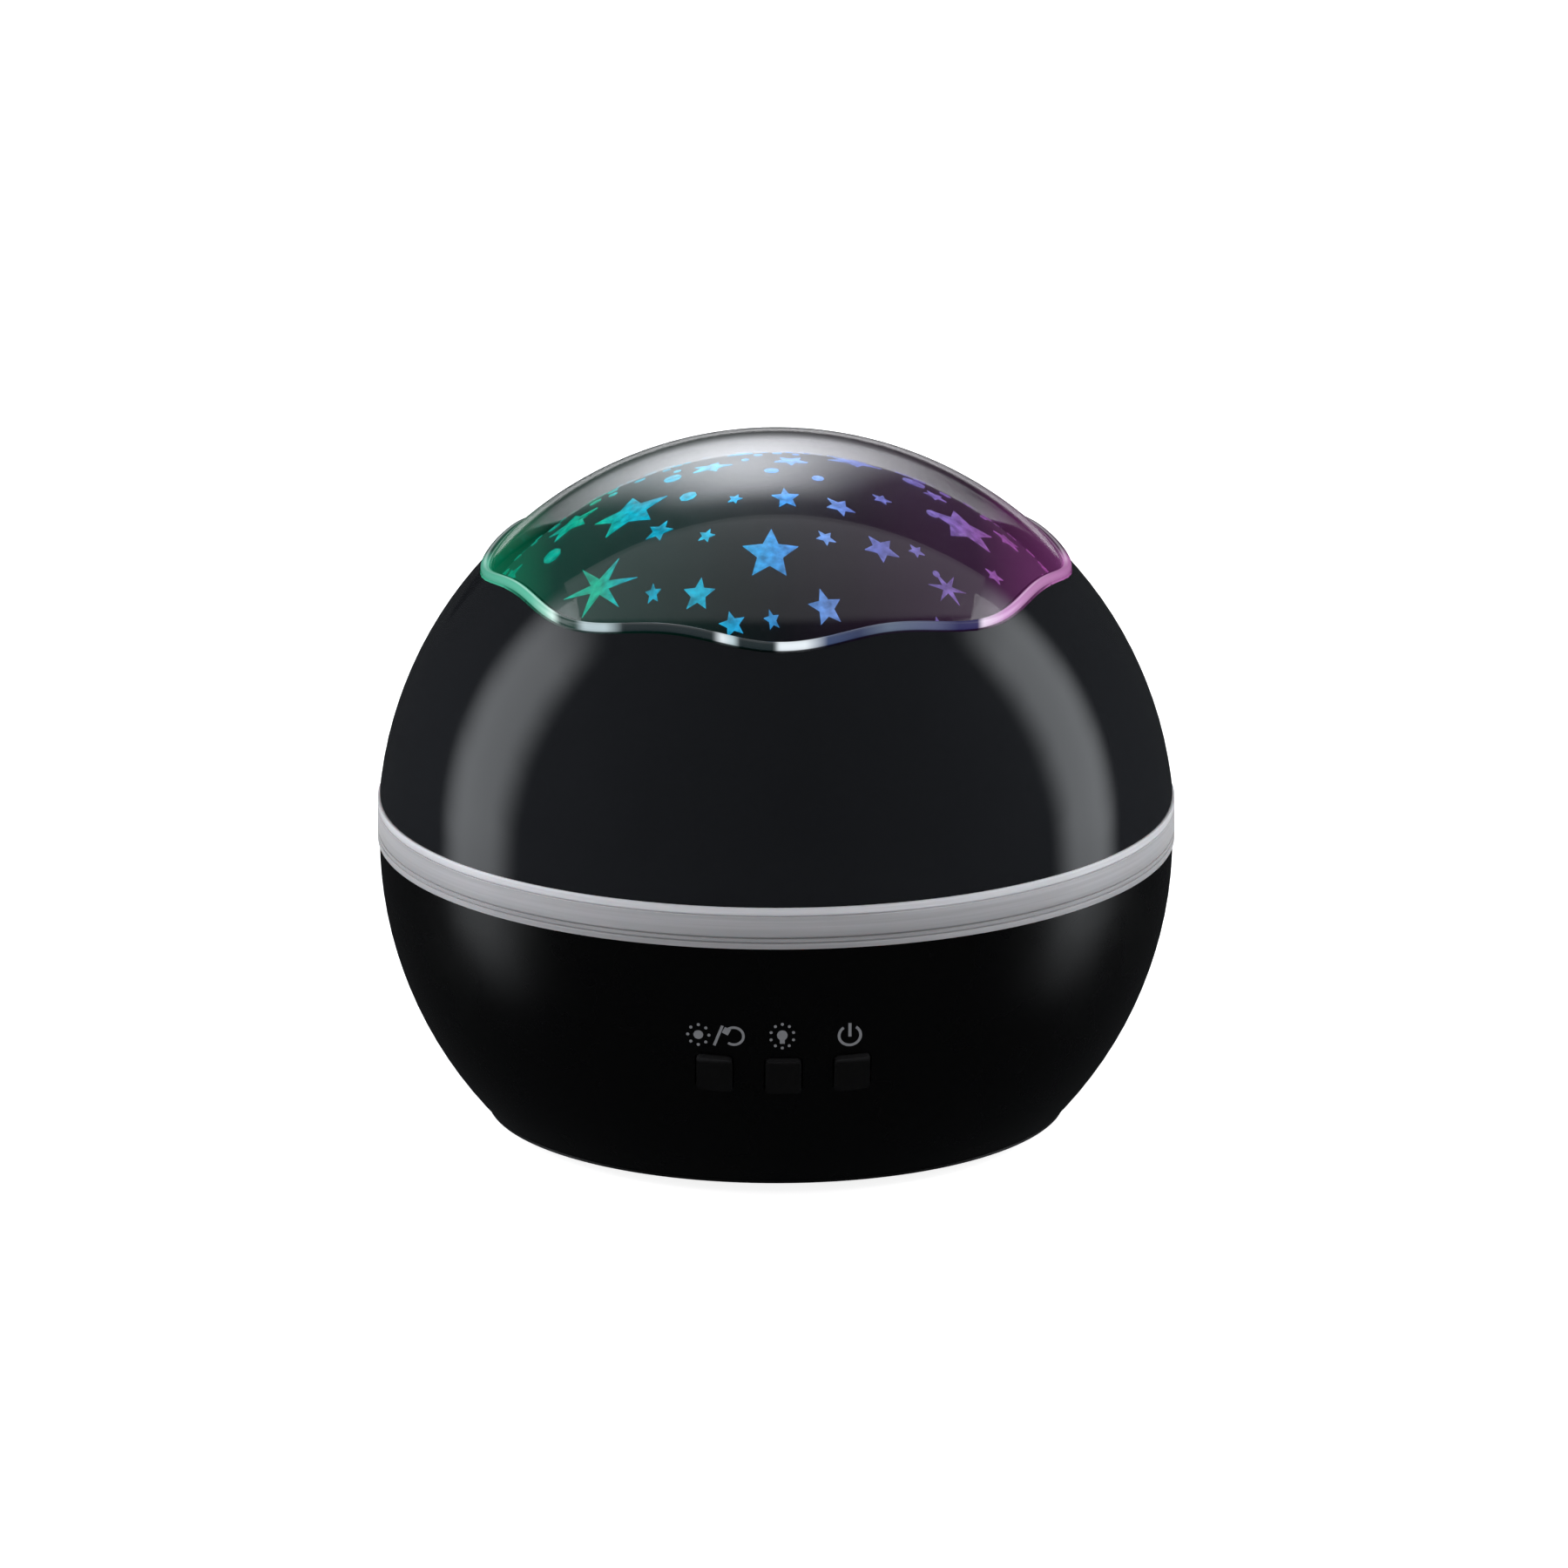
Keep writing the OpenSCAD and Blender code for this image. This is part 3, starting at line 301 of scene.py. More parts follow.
def bar(x0, z0, x1, z1, width):
    """A straight stroke, as pairs of points on its two sides."""
    along = Vector((x1 - x0, z1 - z0)).normalized() * width / 2
    return [((x - along.y, z + along.x), (x + along.y, z - along.x)) for x, z in ((x0, z0), (x1, z1))]


def dot(x, z, half_x, half_z=None, steps=10):
    """A round or oval dot, cut into strips."""
    half_z = half_z or half_x
    turns = [math.pi * (k + DOT_CUT) / (steps + 2 * DOT_CUT) for k in range(steps + 1)]
    return [((x - half_x * math.cos(t), z + half_z * math.sin(t)),
             (x - half_x * math.cos(t), z - half_z * math.sin(t))) for t in turns]


def arc(x, z, radius, width, begin, end, steps=24):
    """A bent stroke. Angles in degrees run anticlockwise from the right."""
    turns = [math.radians(begin + (end - begin) * k / steps) for k in range(steps + 1)]
    sides = (radius - width / 2, radius + width / 2)
    return [tuple((x + r * math.cos(t), z + r * math.sin(t)) for r in sides) for t in turns]


def around(x, z, half_x, half_z, count, size, phase):
    """A ring of small dots."""
    return [dot(x + half_x * math.cos(t), z + half_z * math.sin(t), size, steps=6)
            for t in (2 * math.pi * (k + phase) / count for k in range(count))]


def outward(piece, flat=False):
    """Merges doubles and turns a piece's faces outwards."""
    work = bmesh.new()
    work.from_mesh(piece.data)
    bmesh.ops.remove_doubles(work, verts=work.verts, dist=1e-7)
    bmesh.ops.recalc_face_normals(work, faces=work.faces)
    for face in work.faces:
        face.smooth = not flat
    work.to_mesh(piece.data)
    work.free()
    return piece


sun = [dot(-13.7, 0, 0.78), *around(-13.7, 0, 1.7, 1.8, count=8, size=0.26, phase=0)]
slash = [bar(-11.15, -1.8, -9.85, 1.8, 0.45)]
turning_arrow = [arc(-8.0, 0, 1.55, 0.42, -125, 150), bar(-9.45, 0.35, -8.95, 1.35, 1.1)]
bulb = [dot(-0.2, 0.25, 0.85, 0.9), bar(-0.2, -0.4, -0.2, -1.25, 0.8),
        *around(-0.2, 0.1, 1.9, 2.15, count=10, size=0.25, phase=0.5)]
power = [arc(10.7, -0.1, 1.75, 0.45, 125, 415), bar(10.7, -0.3, 10.7, 2.1, 0.5)]
points, faces = [], []
for stroke in (*sun, *slash, *turning_arrow, *bulb, *power):
    begin = len(points)
    for pair in stroke:
        for x, z in pair:
            way = Vector((x * MM, 0, (z + SYMBOL_Z) * MM - BOWL_Z))
            way.y = -math.sqrt(BOWL_R ** 2 - way.x ** 2 - way.z ** 2)
            for rise in (PRINT_RISE, -PRINT_DEPTH):
                points.append(way * (1 + rise * MM / BOWL_R) + Vector((0, 0, BOWL_Z)))
    end = begin + 4 * (len(stroke) - 1)
    for a in range(begin, end, 4):
        b = a + 4
        faces += [(a, a + 2, b + 2, b), (a + 1, b + 1, b + 3, a + 3),
                  (a, b, b + 1, a + 1), (a + 2, a + 3, b + 3, b + 2)]
    faces += [(a, a + 1, a + 3, a + 2) for a in (begin, end)]
symbols = outward(flat_piece("printed_symbols", points, faces), flat=True)
symbols.data.materials.append(plastic("printed_grey", (0.22, 0.225, 0.24), 0.5, bump=0.2,
                                      grain=4000.0, tint=0.25))
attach(symbols, "base")

# ---------------------------------------------------------------------------------------------
# Buttons: three square caps of black ABS in openings of the bowl's front. A flange behind the
# wall holds each one in, and the upper edge is painted a little lighter, a painted highlight.

CAP_TOP = 27.7 * MM
CAP_EDGE = (CAP_TOP - 0.9 * MM, CAP_TOP - 0.3 * MM)
EDGE_HIGHLIGHT = (0.016, 0.016, 0.017)


def shader_of(mat):
    """The plastic's own shader, for a finish that adds to it."""
    return next(n for n in mat.node_tree.nodes if n.type == "BSDF_PRINCIPLED")


cap_black = plastic("button_black", (0.004, 0.004, 0.0042), 0.25, bump=0.05, Specular_IOR_Level=0.4)
tree = cap_black.node_tree
colour = shader_of(cap_black).inputs["Base Color"]
place = node(tree, "ShaderNodeTexCoord")
axes = node(tree, "ShaderNodeSeparateXYZ")
# The cap's upper edge is painted lighter in colour: a painted highlight.
painted_edge_highlight = node(tree, "ShaderNodeMix", {MIX_SECOND: (*EDGE_HIGHLIGHT, 1)}, data_type="RGBA")
join(tree, (place.outputs["Object"], axes.inputs[0]),
     (rescale(tree, axes.outputs["Z"], CAP_EDGE), painted_edge_highlight.inputs[0]),
     (colour.links[0].from_socket, painted_edge_highlight.inputs[MIX_FIRST]), (painted_edge_highlight.outputs[MIX_RESULT], colour))
dress(cap_black, "button_light", "button_bulb", "button_power")

# ---------------------------------------------------------------------------------------------
# Boards: the control board behind the buttons carries three tact switches with white plungers,
# and a small board at the back carries the steel power inlet. Both are green glass laminate.

moulded_white = plastic("moulded_white", (0.72, 0.72, 0.70), 0.42, bump=0.08)
plated_steel = plastic("plated_steel", (0.58, 0.58, 0.60), 0.3, Metallic=1.0)
dress(plastic("board_green", (0.015, 0.11, 0.045), 0.32), "control_board", "inlet_board")
dress(plastic("switch_black", (0.02, 0.02, 0.02), 0.4), "switch_1", "switch_2", "switch_3")
dress(moulded_white, "plunger_1", "plunger_2", "plunger_3")
dress(plated_steel, "power_inlet")

# ---------------------------------------------------------------------------------------------
# Battery: four AAA cells lie between nickel-plated contacts in a well of the bottom cover. The
# cover and its door are textured black ABS, and the four feet are soft rubber.

dress(plastic("cell_jacket", (0.03, 0.14, 0.07), 0.22), "cell_1", "cell_2", "cell_3", "cell_4")
dress(plastic("nickel", (0.66, 0.64, 0.58), 0.2, Metallic=1.0), "contact_plates", "contact_springs")
dress(plastic("textured_black_abs", (0.006, 0.006, 0.0065), 0.42, bump=0.3, grain=1800.0),
      "bottom_cover", "battery_door")
dress(plastic("foot_rubber", (0.02, 0.02, 0.02), 0.7, bump=0.3),
      "foot_1", "foot_2", "foot_3", "foot_4")

# ---------------------------------------------------------------------------------------------
# Trim ring: frosted clear acrylic, turned with fine grooves. Its lip is painted brighter than its
# band, a painted highlight, and the band is darker towards the bottom. It rests on the bowl's
# rim and carries the cover.

RING_LIP = 1.5 * MM
LIP_BLEND = 0.02
GROOVES = (25, 25, 1500)
ring_low, ring_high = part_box("trim_ring")
lip = 1 - RING_LIP / (ring_high.z - ring_low.z)
# Tones up the band: darker towards the bottom, and a painted highlight on the lip.
BAND_SHADE_AND_LIP_HIGHLIGHT = ((0.0, 0.35), (0.11, 0.39), (0.26, 0.33), (0.5, 0.42), (lip - LIP_BLEND, 0.44),
              (lip + LIP_BLEND, 0.68), (0.97, 0.72))


def colour_ramp(tree, value, stops):
    """Turns a value into a colour. Each stop is a place from 0 to 1 and its colour."""
    ramp = node(tree, "ShaderNodeValToRGB")
    while len(ramp.color_ramp.elements) < len(stops):
        ramp.color_ramp.elements.new(0.5)
    for element, (share, colour) in zip(ramp.color_ramp.elements, stops):
        element.position = share
        element.color = (*colour, 1)
    tree.links.new(value, ramp.inputs["Fac"])
    return ramp.outputs["Color"]


def vector_node(tree, operation, first, second=None, scale=None):
    """A sum on the vectors or colours of other nodes."""
    made = node(tree, "ShaderNodeVectorMath", operation=operation)
    for value, at in ((first, 0), (second, 1), (scale, "Scale")):
        if value is not None:
            tree.links.new(value, made.inputs[at])
    return made.outputs[0]


frosted = plastic("frosted_acrylic", (0.5, 0.5, 0.52), 0.38, bump=0.12, grain=700.0, tint=0.05,
                  Subsurface_Weight=0.15, Subsurface_Scale=0.002,
                  Sheen_Weight=1.0, Sheen_Roughness=0.35)
tree = frosted.node_tree
place = node(tree, "ShaderNodeTexCoord")
axes = node(tree, "ShaderNodeSeparateXYZ")
turned = node(tree, "ShaderNodeMapping", {"Scale": GROOVES})
streaks = node(tree, "ShaderNodeTexNoise", {"Scale": 1.0, "Detail": 3.0})
painted_band = colour_ramp(tree, rescale(tree, axes.outputs["Z"], (ring_low.z, ring_high.z)),
                   [(share, (tone, tone, tone * 1.05)) for share, tone in BAND_SHADE_AND_LIP_HIGHLIGHT])
level = rescale(tree, streaks.outputs["Fac"], NOISE_SPAN, (0.86, 1.10))
join(tree, (place.outputs["Object"], axes.inputs[0]),
     (place.outputs["Object"], turned.inputs["Vector"]), (turned.outputs[0], streaks.inputs["Vector"]),
     (vector_node(tree, "SCALE", painted_band, scale=level), shader_of(frosted).inputs["Base Color"]))
dress(frosted, "trim_ring")

# ---------------------------------------------------------------------------------------------
# Drive: the white deck plate closes the bowl and carries the gear motor in a black clamp. Its
# nylon pinion turns an idler on a steel pin, and the idler turns the white tray.

inner_black = plastic("inner_black", (0.02, 0.02, 0.021), 0.5, bump=0.1)
dress(moulded_white, "deck_plate", "turntable")
dress(plated_steel, "motor", "motor_shaft", "idler_pin")
dress(plastic("brass", (0.72, 0.53, 0.22), 0.3, Metallic=1.0), "gearbox")
dress(inner_black, "motor_clamp")
dress(plastic("nylon", (0.80, 0.79, 0.73), 0.38, Subsurface_Weight=0.1, Subsurface_Scale=0.001),
      "idler_gear", "drive_pinion")

# ---------------------------------------------------------------------------------------------
# Lamp: a white board on a hollow post in the middle, with a white, a red, a green and a blue
# LED. It stands still while the tray turns around it.

dress(moulded_white, "led_post")
dress(plastic("board_white", (0.78, 0.78, 0.75), 0.35), "led_board")
for name, colour in (("led_1", (0.9, 0.9, 0.9)), ("led_2", (0.8, 0.05, 0.05)),
                     ("led_3", (0.05, 0.7, 0.2)), ("led_4", (0.05, 0.12, 0.85))):
    dress(plastic(name + "_lens", colour, 0.12, spread=0.02, Transmission_Weight=0.5), name)

# ---------------------------------------------------------------------------------------------
# Leads: stranded wire in coloured PVC. They run from the battery, the power inlet, the motor
# and the lamp to the control board.

for name, colour in (("plus", (0.45, 0.02, 0.02)), ("minus", (0.015, 0.015, 0.015)),
                     ("motor", (0.60, 0.42, 0.02)), ("lamp", (0.70, 0.70, 0.67)),
                     ("inlet", (0.05, 0.05, 0.055))):
    dress(plastic("pvc_" + name, colour, 0.38, bump=0.1, grain=2200.0), "wire_" + name)

# ---------------------------------------------------------------------------------------------
# Screws: plated steel, one kind for each job. They hold the bottom cover, the deck, the boards,
# the motor's clamp and the battery door.

dress(plated_steel, "case_screws", "deck_screws", "board_screws", "clamp_screws", "door_screws")

# ---------------------------------------------------------------------------------------------
# Star dome: a formed film of smoky polycarbonate that a black ring holds on the tray, with stars
# left clear in its dark print. The light inside is green at the left and magenta at the right.

film_low, film_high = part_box("star_dome")
FILM_EDGE = film_high.x
FILM_RISE = film_high.z - film_low.z
FILM_R = (FILM_EDGE ** 2 + FILM_RISE ** 2) / (2 * FILM_RISE)
FILM_Z = film_high.z - FILM_R
STAR_T = 0.12 * MM
LIGHT_REACH = 50 * MM
FILM_GLOW = ((0.0, (0.010, 0.060, 0.042)), (0.24, (0.008, 0.022, 0.020)),
             (0.42, (0.004, 0.007, 0.008)), (0.62, (0.007, 0.005, 0.009)),
             (0.82, (0.026, 0.011, 0.028)), (1.0, (0.065, 0.018, 0.060)))


def across(tree, place, stops, reach):
    """A colour that runs along X, from -reach to reach."""
    split = node(tree, "ShaderNodeSeparateXYZ")
    tree.links.new(place.outputs["Object"], split.inputs[0])
    return colour_ramp(tree, rescale(tree, split.outputs["X"], (-reach, reach)), stops)


film = plastic("smoky_film", (0.055, 0.055, 0.058), 0.36, tint=0.2, grain=2500.0, bump=0.1,
               Specular_IOR_Level=0.6, Emission_Strength=1.7)
tree = film.node_tree
tree.links.new(across(tree, node(tree, "ShaderNodeTexCoord"), FILM_GLOW, LIGHT_REACH),
               shader_of(film).inputs["Emission Color"])
dress(film, "star_dome")
dress(inner_black, "dome_retainer")

# Each row is a star's turn about the axis from the front and its height over the dome's middle in
# degrees, its half width and half height in mm, its kind and its tilt in degrees.
STAR, SPARKLE, DOT = 0, 1, 2
STARS = [
    (-88, 57, 4.0, 5.0, STAR, 10), (-68, 65, 5.6, 6.8, STAR, -8), (-46, 64, 2.3, 2.7, STAR, 12),
    (-27, 65, 1.4, 1.7, STAR, 0), (-54, 73, 1.3, 1.5, DOT, 0), (-26, 75, 1.2, 1.5, STAR, 0),
    (5, 76, 2.3, 3.3, STAR, 0), (32, 72, 2.1, 3.0, STAR, 10), (58, 71, 1.4, 1.8, STAR, 0),
    (100, 68, 2.2, 2.0, DOT, 0), (90, 65, 2.0, 2.2, STAR, 20), (74, 59, 5.4, 6.5, STAR, 14),
    (-3, 62, 4.7, 5.9, STAR, 0), (17, 65, 1.5, 2.0, STAR, 20), (34, 61, 2.9, 3.3, STAR, 8),
    (45, 59, 1.4, 1.6, STAR, 0), (-49, 51, 6.9, 6.2, SPARKLE, 8), (-33, 52, 1.4, 2.2, STAR, 25),
    (-21, 53, 2.7, 3.5, STAR, 8), (-11, 48, 2.2, 2.6, STAR, 20), (-2, 49, 1.3, 2.1, STAR, 15),
    (11, 51, 2.8, 3.8, STAR, 6), (45, 51, 3.4, 3.5, SPARKLE, 0), (45, 54, 0.6, 0.7, DOT, 0),
    (63, 50, 1.5, 1.9, STAR, 10), (-76, 52, 2.0, 1.7, DOT, 0), (-95, 80, 2.8, 3.5, STAR, 0),
    (-88, 74, 1.7, 1.5, DOT, 0), (-11, 86, 1.2, 1.1, DOT, 0), (44, 81, 1.0, 1.0, DOT, 0),
    (120, 76, 4.0, 5.0, STAR, 0), (88, 52, 2.4, 2.8, STAR, 0), (70, 64, 1.0, 1.1, DOT, 0)]
PLANNED_TURN = 95
PLANNED_HEIGHT = 45
FILL_TRIES = 2600
FILL_SINES = (0.24, 0.999)
FILL_ODDS = (5, 1, 6)
STAR_SIZES = (1.6, 2.2, 2.8, 3.6, 4.2)
SPARKLE_SIZES = (3.0, 4.4)
DOT_SIZES = (0.5, 1.1)
FILL_STRETCH = (0.95, 1.25)
FILL_TILT = 36
FILL_R = 60
FILL_GAP = 1.7


def dome_way(turn, height):
    """The direction of a star from the middle of the film's ball."""
    turn = math.radians(turn)
    height = math.radians(height)
    level = math.cos(height)
    return Vector((math.sin(turn) * level, -math.cos(turn) * level, math.sin(height)))


# The rest of the film is filled at random, where there is room beside the stars above. The room
# is measured in mm on a ball of radius FILL_R, and FILL_GAP is the least gap between two stars.
rng = random.Random(7)
taken = [(dome_way(s[0], s[1]), max(s[2], s[3])) for s in STARS]
for _ in range(FILL_TRIES):
    turn = rng.uniform(-180, 180)
    height = math.degrees(math.asin(rng.uniform(*FILL_SINES)))
    kind = rng.choices((STAR, SPARKLE, DOT), FILL_ODDS)[0]
    sizes = [rng.choice(STAR_SIZES), rng.uniform(*SPARKLE_SIZES), rng.uniform(*DOT_SIZES)]
    size = sizes[kind]
    way = dome_way(turn, height)
    if height > PLANNED_HEIGHT and abs(turn) < PLANNED_TURN:
        continue
    if all((way - other).length * FILL_R > size + reach + FILL_GAP for other, reach in taken):
        tall = size * rng.uniform(*FILL_STRETCH)
        STARS.append((turn, height, size, tall, kind, rng.uniform(-FILL_TILT, FILL_TILT)))
        taken.append((way, size))

film_centre = Vector((0, 0, FILM_Z))
stars = flat_piece("film_stars", [dome_way(s[0], s[1]) * FILM_R + film_centre for s in STARS], [])
for label, kind, field, values in (
        ("size", "FLOAT_VECTOR", "vector", [v for s in STARS for v in (s[2] * MM, s[3] * MM, MM)]),
        ("tilt", "FLOAT", "value", [math.radians(s[5]) for s in STARS]),
        ("kind", "INT", "value", [s[4] for s in STARS])):
    stars.data.attributes.new(label, kind, "POINT").data.foreach_set(field, values)

# The stars' light: it changes along X, flickers with the film's grain and is stronger lower down.
STAR_LIGHT = ((0.05, (0.0, 0.30, 0.16)), (0.14, (0.0, 0.50, 0.37)), (0.21, (0.0, 0.56, 0.34)),
              (0.26, (0.0, 0.45, 0.58)), (0.31, (0.0, 0.40, 0.60)), (0.37, (0.01, 0.50, 0.72)),
              (0.45, (0.03, 0.40, 0.80)), (0.52, (0.07, 0.32, 0.82)), (0.58, (0.17, 0.34, 0.80)),
              (0.62, (0.12, 0.18, 0.56)), (0.70, (0.19, 0.18, 0.54)), (0.78, (0.24, 0.14, 0.48)),
              (0.86, (0.36, 0.11, 0.42)), (0.97, (0.42, 0.07, 0.35)))
FLICKER = (0.55, 1.35)
HIGHER_UP = ((92 * MM, 106 * MM), (1.9, 1.6))
star_paint, tree, out = empty_material("lit_star")
place = node(tree, "ShaderNodeTexCoord")
sparkle = node(tree, "ShaderNodeTexNoise", {"Scale": 700.0, "Detail": 3.0})
axes = node(tree, "ShaderNodeSeparateXYZ")
body = node(tree, "ShaderNodeBsdfPrincipled", {
    "Base Color": (0.05, 0.07, 0.09, 1), "Roughness": 0.35, "Emission Strength": 1.0})
level = math_node(tree, "MULTIPLY", rescale(tree, sparkle.outputs["Fac"], NOISE_SPAN, FLICKER),
                  rescale(tree, axes.outputs["Z"], *HIGHER_UP))
light = vector_node(tree, "SCALE", across(tree, place, STAR_LIGHT, LIGHT_REACH), scale=level)
join(tree, (place.outputs["Object"], sparkle.inputs["Vector"]),
     (place.outputs["Object"], axes.inputs[0]),
     (light, body.inputs["Emission Color"]), (body.outputs[0], out.inputs["Surface"]))


def new_tree(name, *sockets):
    """A geometry tree with named inputs. Each socket is (name, type, value)."""
    tree = bpy.data.node_groups.new(name, "GeometryNodeTree")
    tree.interface.new_socket("Geometry", in_out="INPUT", socket_type="NodeSocketGeometry")
    for label, kind, value in sockets:
        made = tree.interface.new_socket(label, in_out="INPUT", socket_type="NodeSocket" + kind)
        made.default_value = value
    tree.interface.new_socket("Geometry", in_out="OUTPUT", socket_type="NodeSocketGeometry")
    return tree, node(tree, "NodeGroupInput"), node(tree, "NodeGroupOutput")


def finish_tree(tree, result, last, material):
    """Ends a tree in plain mesh with its material."""
    real = node(tree, "GeometryNodeRealizeInstances")
    coat = node(tree, "GeometryNodeSetMaterial", {"Material": material})
    join(tree, (result, real.inputs["Geometry"]), (real.outputs[0], coat.inputs["Geometry"]),
         (coat.outputs[0], last.inputs[0]))


def grown(piece, tree, **sizes):
    """Runs a tree on a piece and leaves the plain mesh that it makes."""
    modifier = piece.modifiers.new(tree.name, "NODES")
    modifier.node_group = tree
    ids = {item.name: item.identifier for item in tree.interface.items_tree
           if item.item_type == "SOCKET" and item.in_out == "INPUT"}
    for label, value in sizes.items():
        modifier[ids[label.replace("_", " ")]] = value
    evaluated = piece.evaluated_get(bpy.context.evaluated_depsgraph_get())
    mesh = bpy.data.meshes.new_from_object(evaluated)
    piece.modifiers.remove(modifier)
    piece.data = mesh
    return piece


# Each kind of star is a flat outline of radius 1. It is laid on the film at its size and tilt,
# bent onto the film's ball and given its thickness. Stars are cut finer than dots, so they bend.
UPRIGHT = math.pi / 2
OUTLINES = {DOT: {"points": 8, "inner": 0.93, "turn": 0.0, "cuts": 0},
            SPARKLE: {"points": 6, "inner": 0.27, "turn": UPRIGHT, "cuts": 1},
            STAR: {"points": 5, "inner": 0.46, "turn": UPRIGHT, "cuts": 1}}
tree, first, last = new_tree("stars_on_film", ("Film radius", "Float", FILM_R),
                             ("Film centre", "Float", FILM_Z), ("Thickness", "Float", STAR_T))
shapes = node(tree, "GeometryNodeGeometryToInstance")
for kind in (DOT, SPARKLE, STAR):  # the last one linked comes first
    form = OUTLINES[kind]
    outline = node(tree, "GeometryNodeCurveStar", {"Points": form["points"], "Outer Radius": 1.0,
                                                   "Inner Radius": form["inner"]})
    fill = node(tree, "GeometryNodeFillCurve")
    turned = node(tree, "GeometryNodeTransform", {"Rotation": (0, 0, form["turn"])})
    cut = node(tree, "GeometryNodeSubdivideMesh", {"Level": form["cuts"]})
    join(tree, (outline.outputs["Curve"], fill.inputs["Curve"]),
         (fill.outputs[0], turned.inputs["Geometry"]),
         (turned.outputs[0], cut.inputs["Mesh"]), (cut.outputs[0], shapes.inputs[0]))
spread = node(tree, "GeometryNodeInstanceOnPoints", {"Pick Instance": True})
kind_of = node(tree, "GeometryNodeInputNamedAttribute", {"Name": "kind"}, data_type="INT")
size_of = node(tree, "GeometryNodeInputNamedAttribute", {"Name": "size"}, data_type="FLOAT_VECTOR")
tilt_of = node(tree, "GeometryNodeInputNamedAttribute", {"Name": "tilt"}, data_type="FLOAT")
centre = node(tree, "ShaderNodeCombineXYZ")
tree.links.new(first.outputs["Film centre"], centre.inputs["Z"])


def off_centre(tree):
    """The direction of a point from the middle of the film's ball."""
    here = node(tree, "GeometryNodeInputPosition")
    arm = vector_node(tree, "SUBTRACT", here.outputs[0], centre.outputs[0])
    return vector_node(tree, "NORMALIZE", arm)


stand = node(tree, "FunctionNodeAlignRotationToVector", axis="Z")
lean = node(tree, "FunctionNodeAlignRotationToVector", {"Vector": (0, 0, 1)}, axis="Y", pivot_axis="Z")
spin = node(tree, "FunctionNodeAxisAngleToRotation", {"Axis": (0, 0, 1)})
turned = node(tree, "FunctionNodeRotateRotation", rotation_space="LOCAL")
laid = node(tree, "GeometryNodeRealizeInstances")
bent = node(tree, "GeometryNodeSetPosition")
arm = vector_node(tree, "SCALE", off_centre(tree), scale=first.outputs["Film radius"])
on_ball = vector_node(tree, "ADD", arm, centre.outputs[0])
raised = node(tree, "GeometryNodeExtrudeMesh", {"Individual": False})
underside = node(tree, "GeometryNodeFlipFaces")
whole = node(tree, "GeometryNodeJoinGeometry")
weld = node(tree, "GeometryNodeMergeByDistance", {"Distance": 1e-6})
join(tree, (off_centre(tree), stand.inputs["Vector"]), (stand.outputs[0], lean.inputs["Rotation"]),
     (tilt_of.outputs[0], spin.inputs["Angle"]), (lean.outputs[0], turned.inputs["Rotation"]),
     (spin.outputs[0], turned.inputs["Rotate By"]))
join(tree, (first.outputs["Geometry"], spread.inputs["Points"]),
     (shapes.outputs[0], spread.inputs["Instance"]),
     (kind_of.outputs[0], spread.inputs["Instance Index"]),
     (turned.outputs[0], spread.inputs["Rotation"]), (size_of.outputs[0], spread.inputs["Scale"]),
     (spread.outputs[0], laid.inputs["Geometry"]), (laid.outputs[0], bent.inputs["Geometry"]),
     (on_ball, bent.inputs["Position"]), (bent.outputs[0], raised.inputs["Mesh"]),
     (first.outputs["Thickness"], raised.inputs["Offset Scale"]),
     (bent.outputs[0], underside.inputs["Mesh"]), (underside.outputs[0], whole.inputs[0]),
     (raised.outputs["Mesh"], whole.inputs[0]), (whole.outputs[0], weld.inputs[0]))
finish_tree(tree, weld.outputs[0], last, star_paint)
outward(grown(stars, tree))
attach(stars, "tray")

# ---------------------------------------------------------------------------------------------
# Upper shell: a ball of black ABS with a piano gloss, cut off by the wavy seam at the top. It
# centres in the trim ring, hides the tray and lifts off together with the clear dome.

dress(plastic("gloss_black_abs", (0.0115, 0.0125, 0.0145), 0.075, spread=0.02, tint=0.1),
      "upper_shell")

# ---------------------------------------------------------------------------------------------
# Clear dome: one blow of clear acrylic over the star dome. Its rim is a round bead that follows
# the wavy seam and drops onto the upper shell's ledge; it catches the colour of the light inside.

SEAM_R = 47.4 * MM
WAVE = 0.8 * MM
WAVES = 8
DOME_DROP = 21.0 * MM
DOME_R = (SEAM_R ** 2 + DOME_DROP ** 2) / (2 * DOME_DROP)
DOME_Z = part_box("clear_dome")[1].z - DOME_R
DOME_WALL = 1.4 * MM
RIM_GAP = 0.1 * MM
AROUND = 384
UP = 40
ROW_CROWDING = 1.15
SKIN_POINTS = UP * AROUND + 1


def dome_point(skin, row, step):
    """The number of a point on the outer skin, 0, or the inner one, 1."""
    return skin * SKIN_POINTS + row * AROUND + step % AROUND


points, faces = [], []
for radius in (DOME_R, DOME_R - DOME_WALL):
    for row in range(UP):
        for step in range(AROUND):
            turn = 2 * math.pi * step / AROUND
            r = (SEAM_R - RIM_GAP + WAVE * math.cos(WAVES * turn)) * (1 - (row / UP) ** ROW_CROWDING)
            points.append((r * math.sin(turn), -r * math.cos(turn),
                           DOME_Z + math.sqrt(radius ** 2 - r ** 2)))
    points.append((0, 0, DOME_Z + radius))
for skin in (0, 1):
    for step in range(AROUND):
        for row in range(UP):
            face = [dome_point(skin, row, step), dome_point(skin, row, step + 1)]
            if row < UP - 1:
                face += [dome_point(skin, row + 1, step + 1), dome_point(skin, row + 1, step)]
            else:
                face.append((skin + 1) * SKIN_POINTS - 1)
            faces.append(face[::-1] if skin else face)
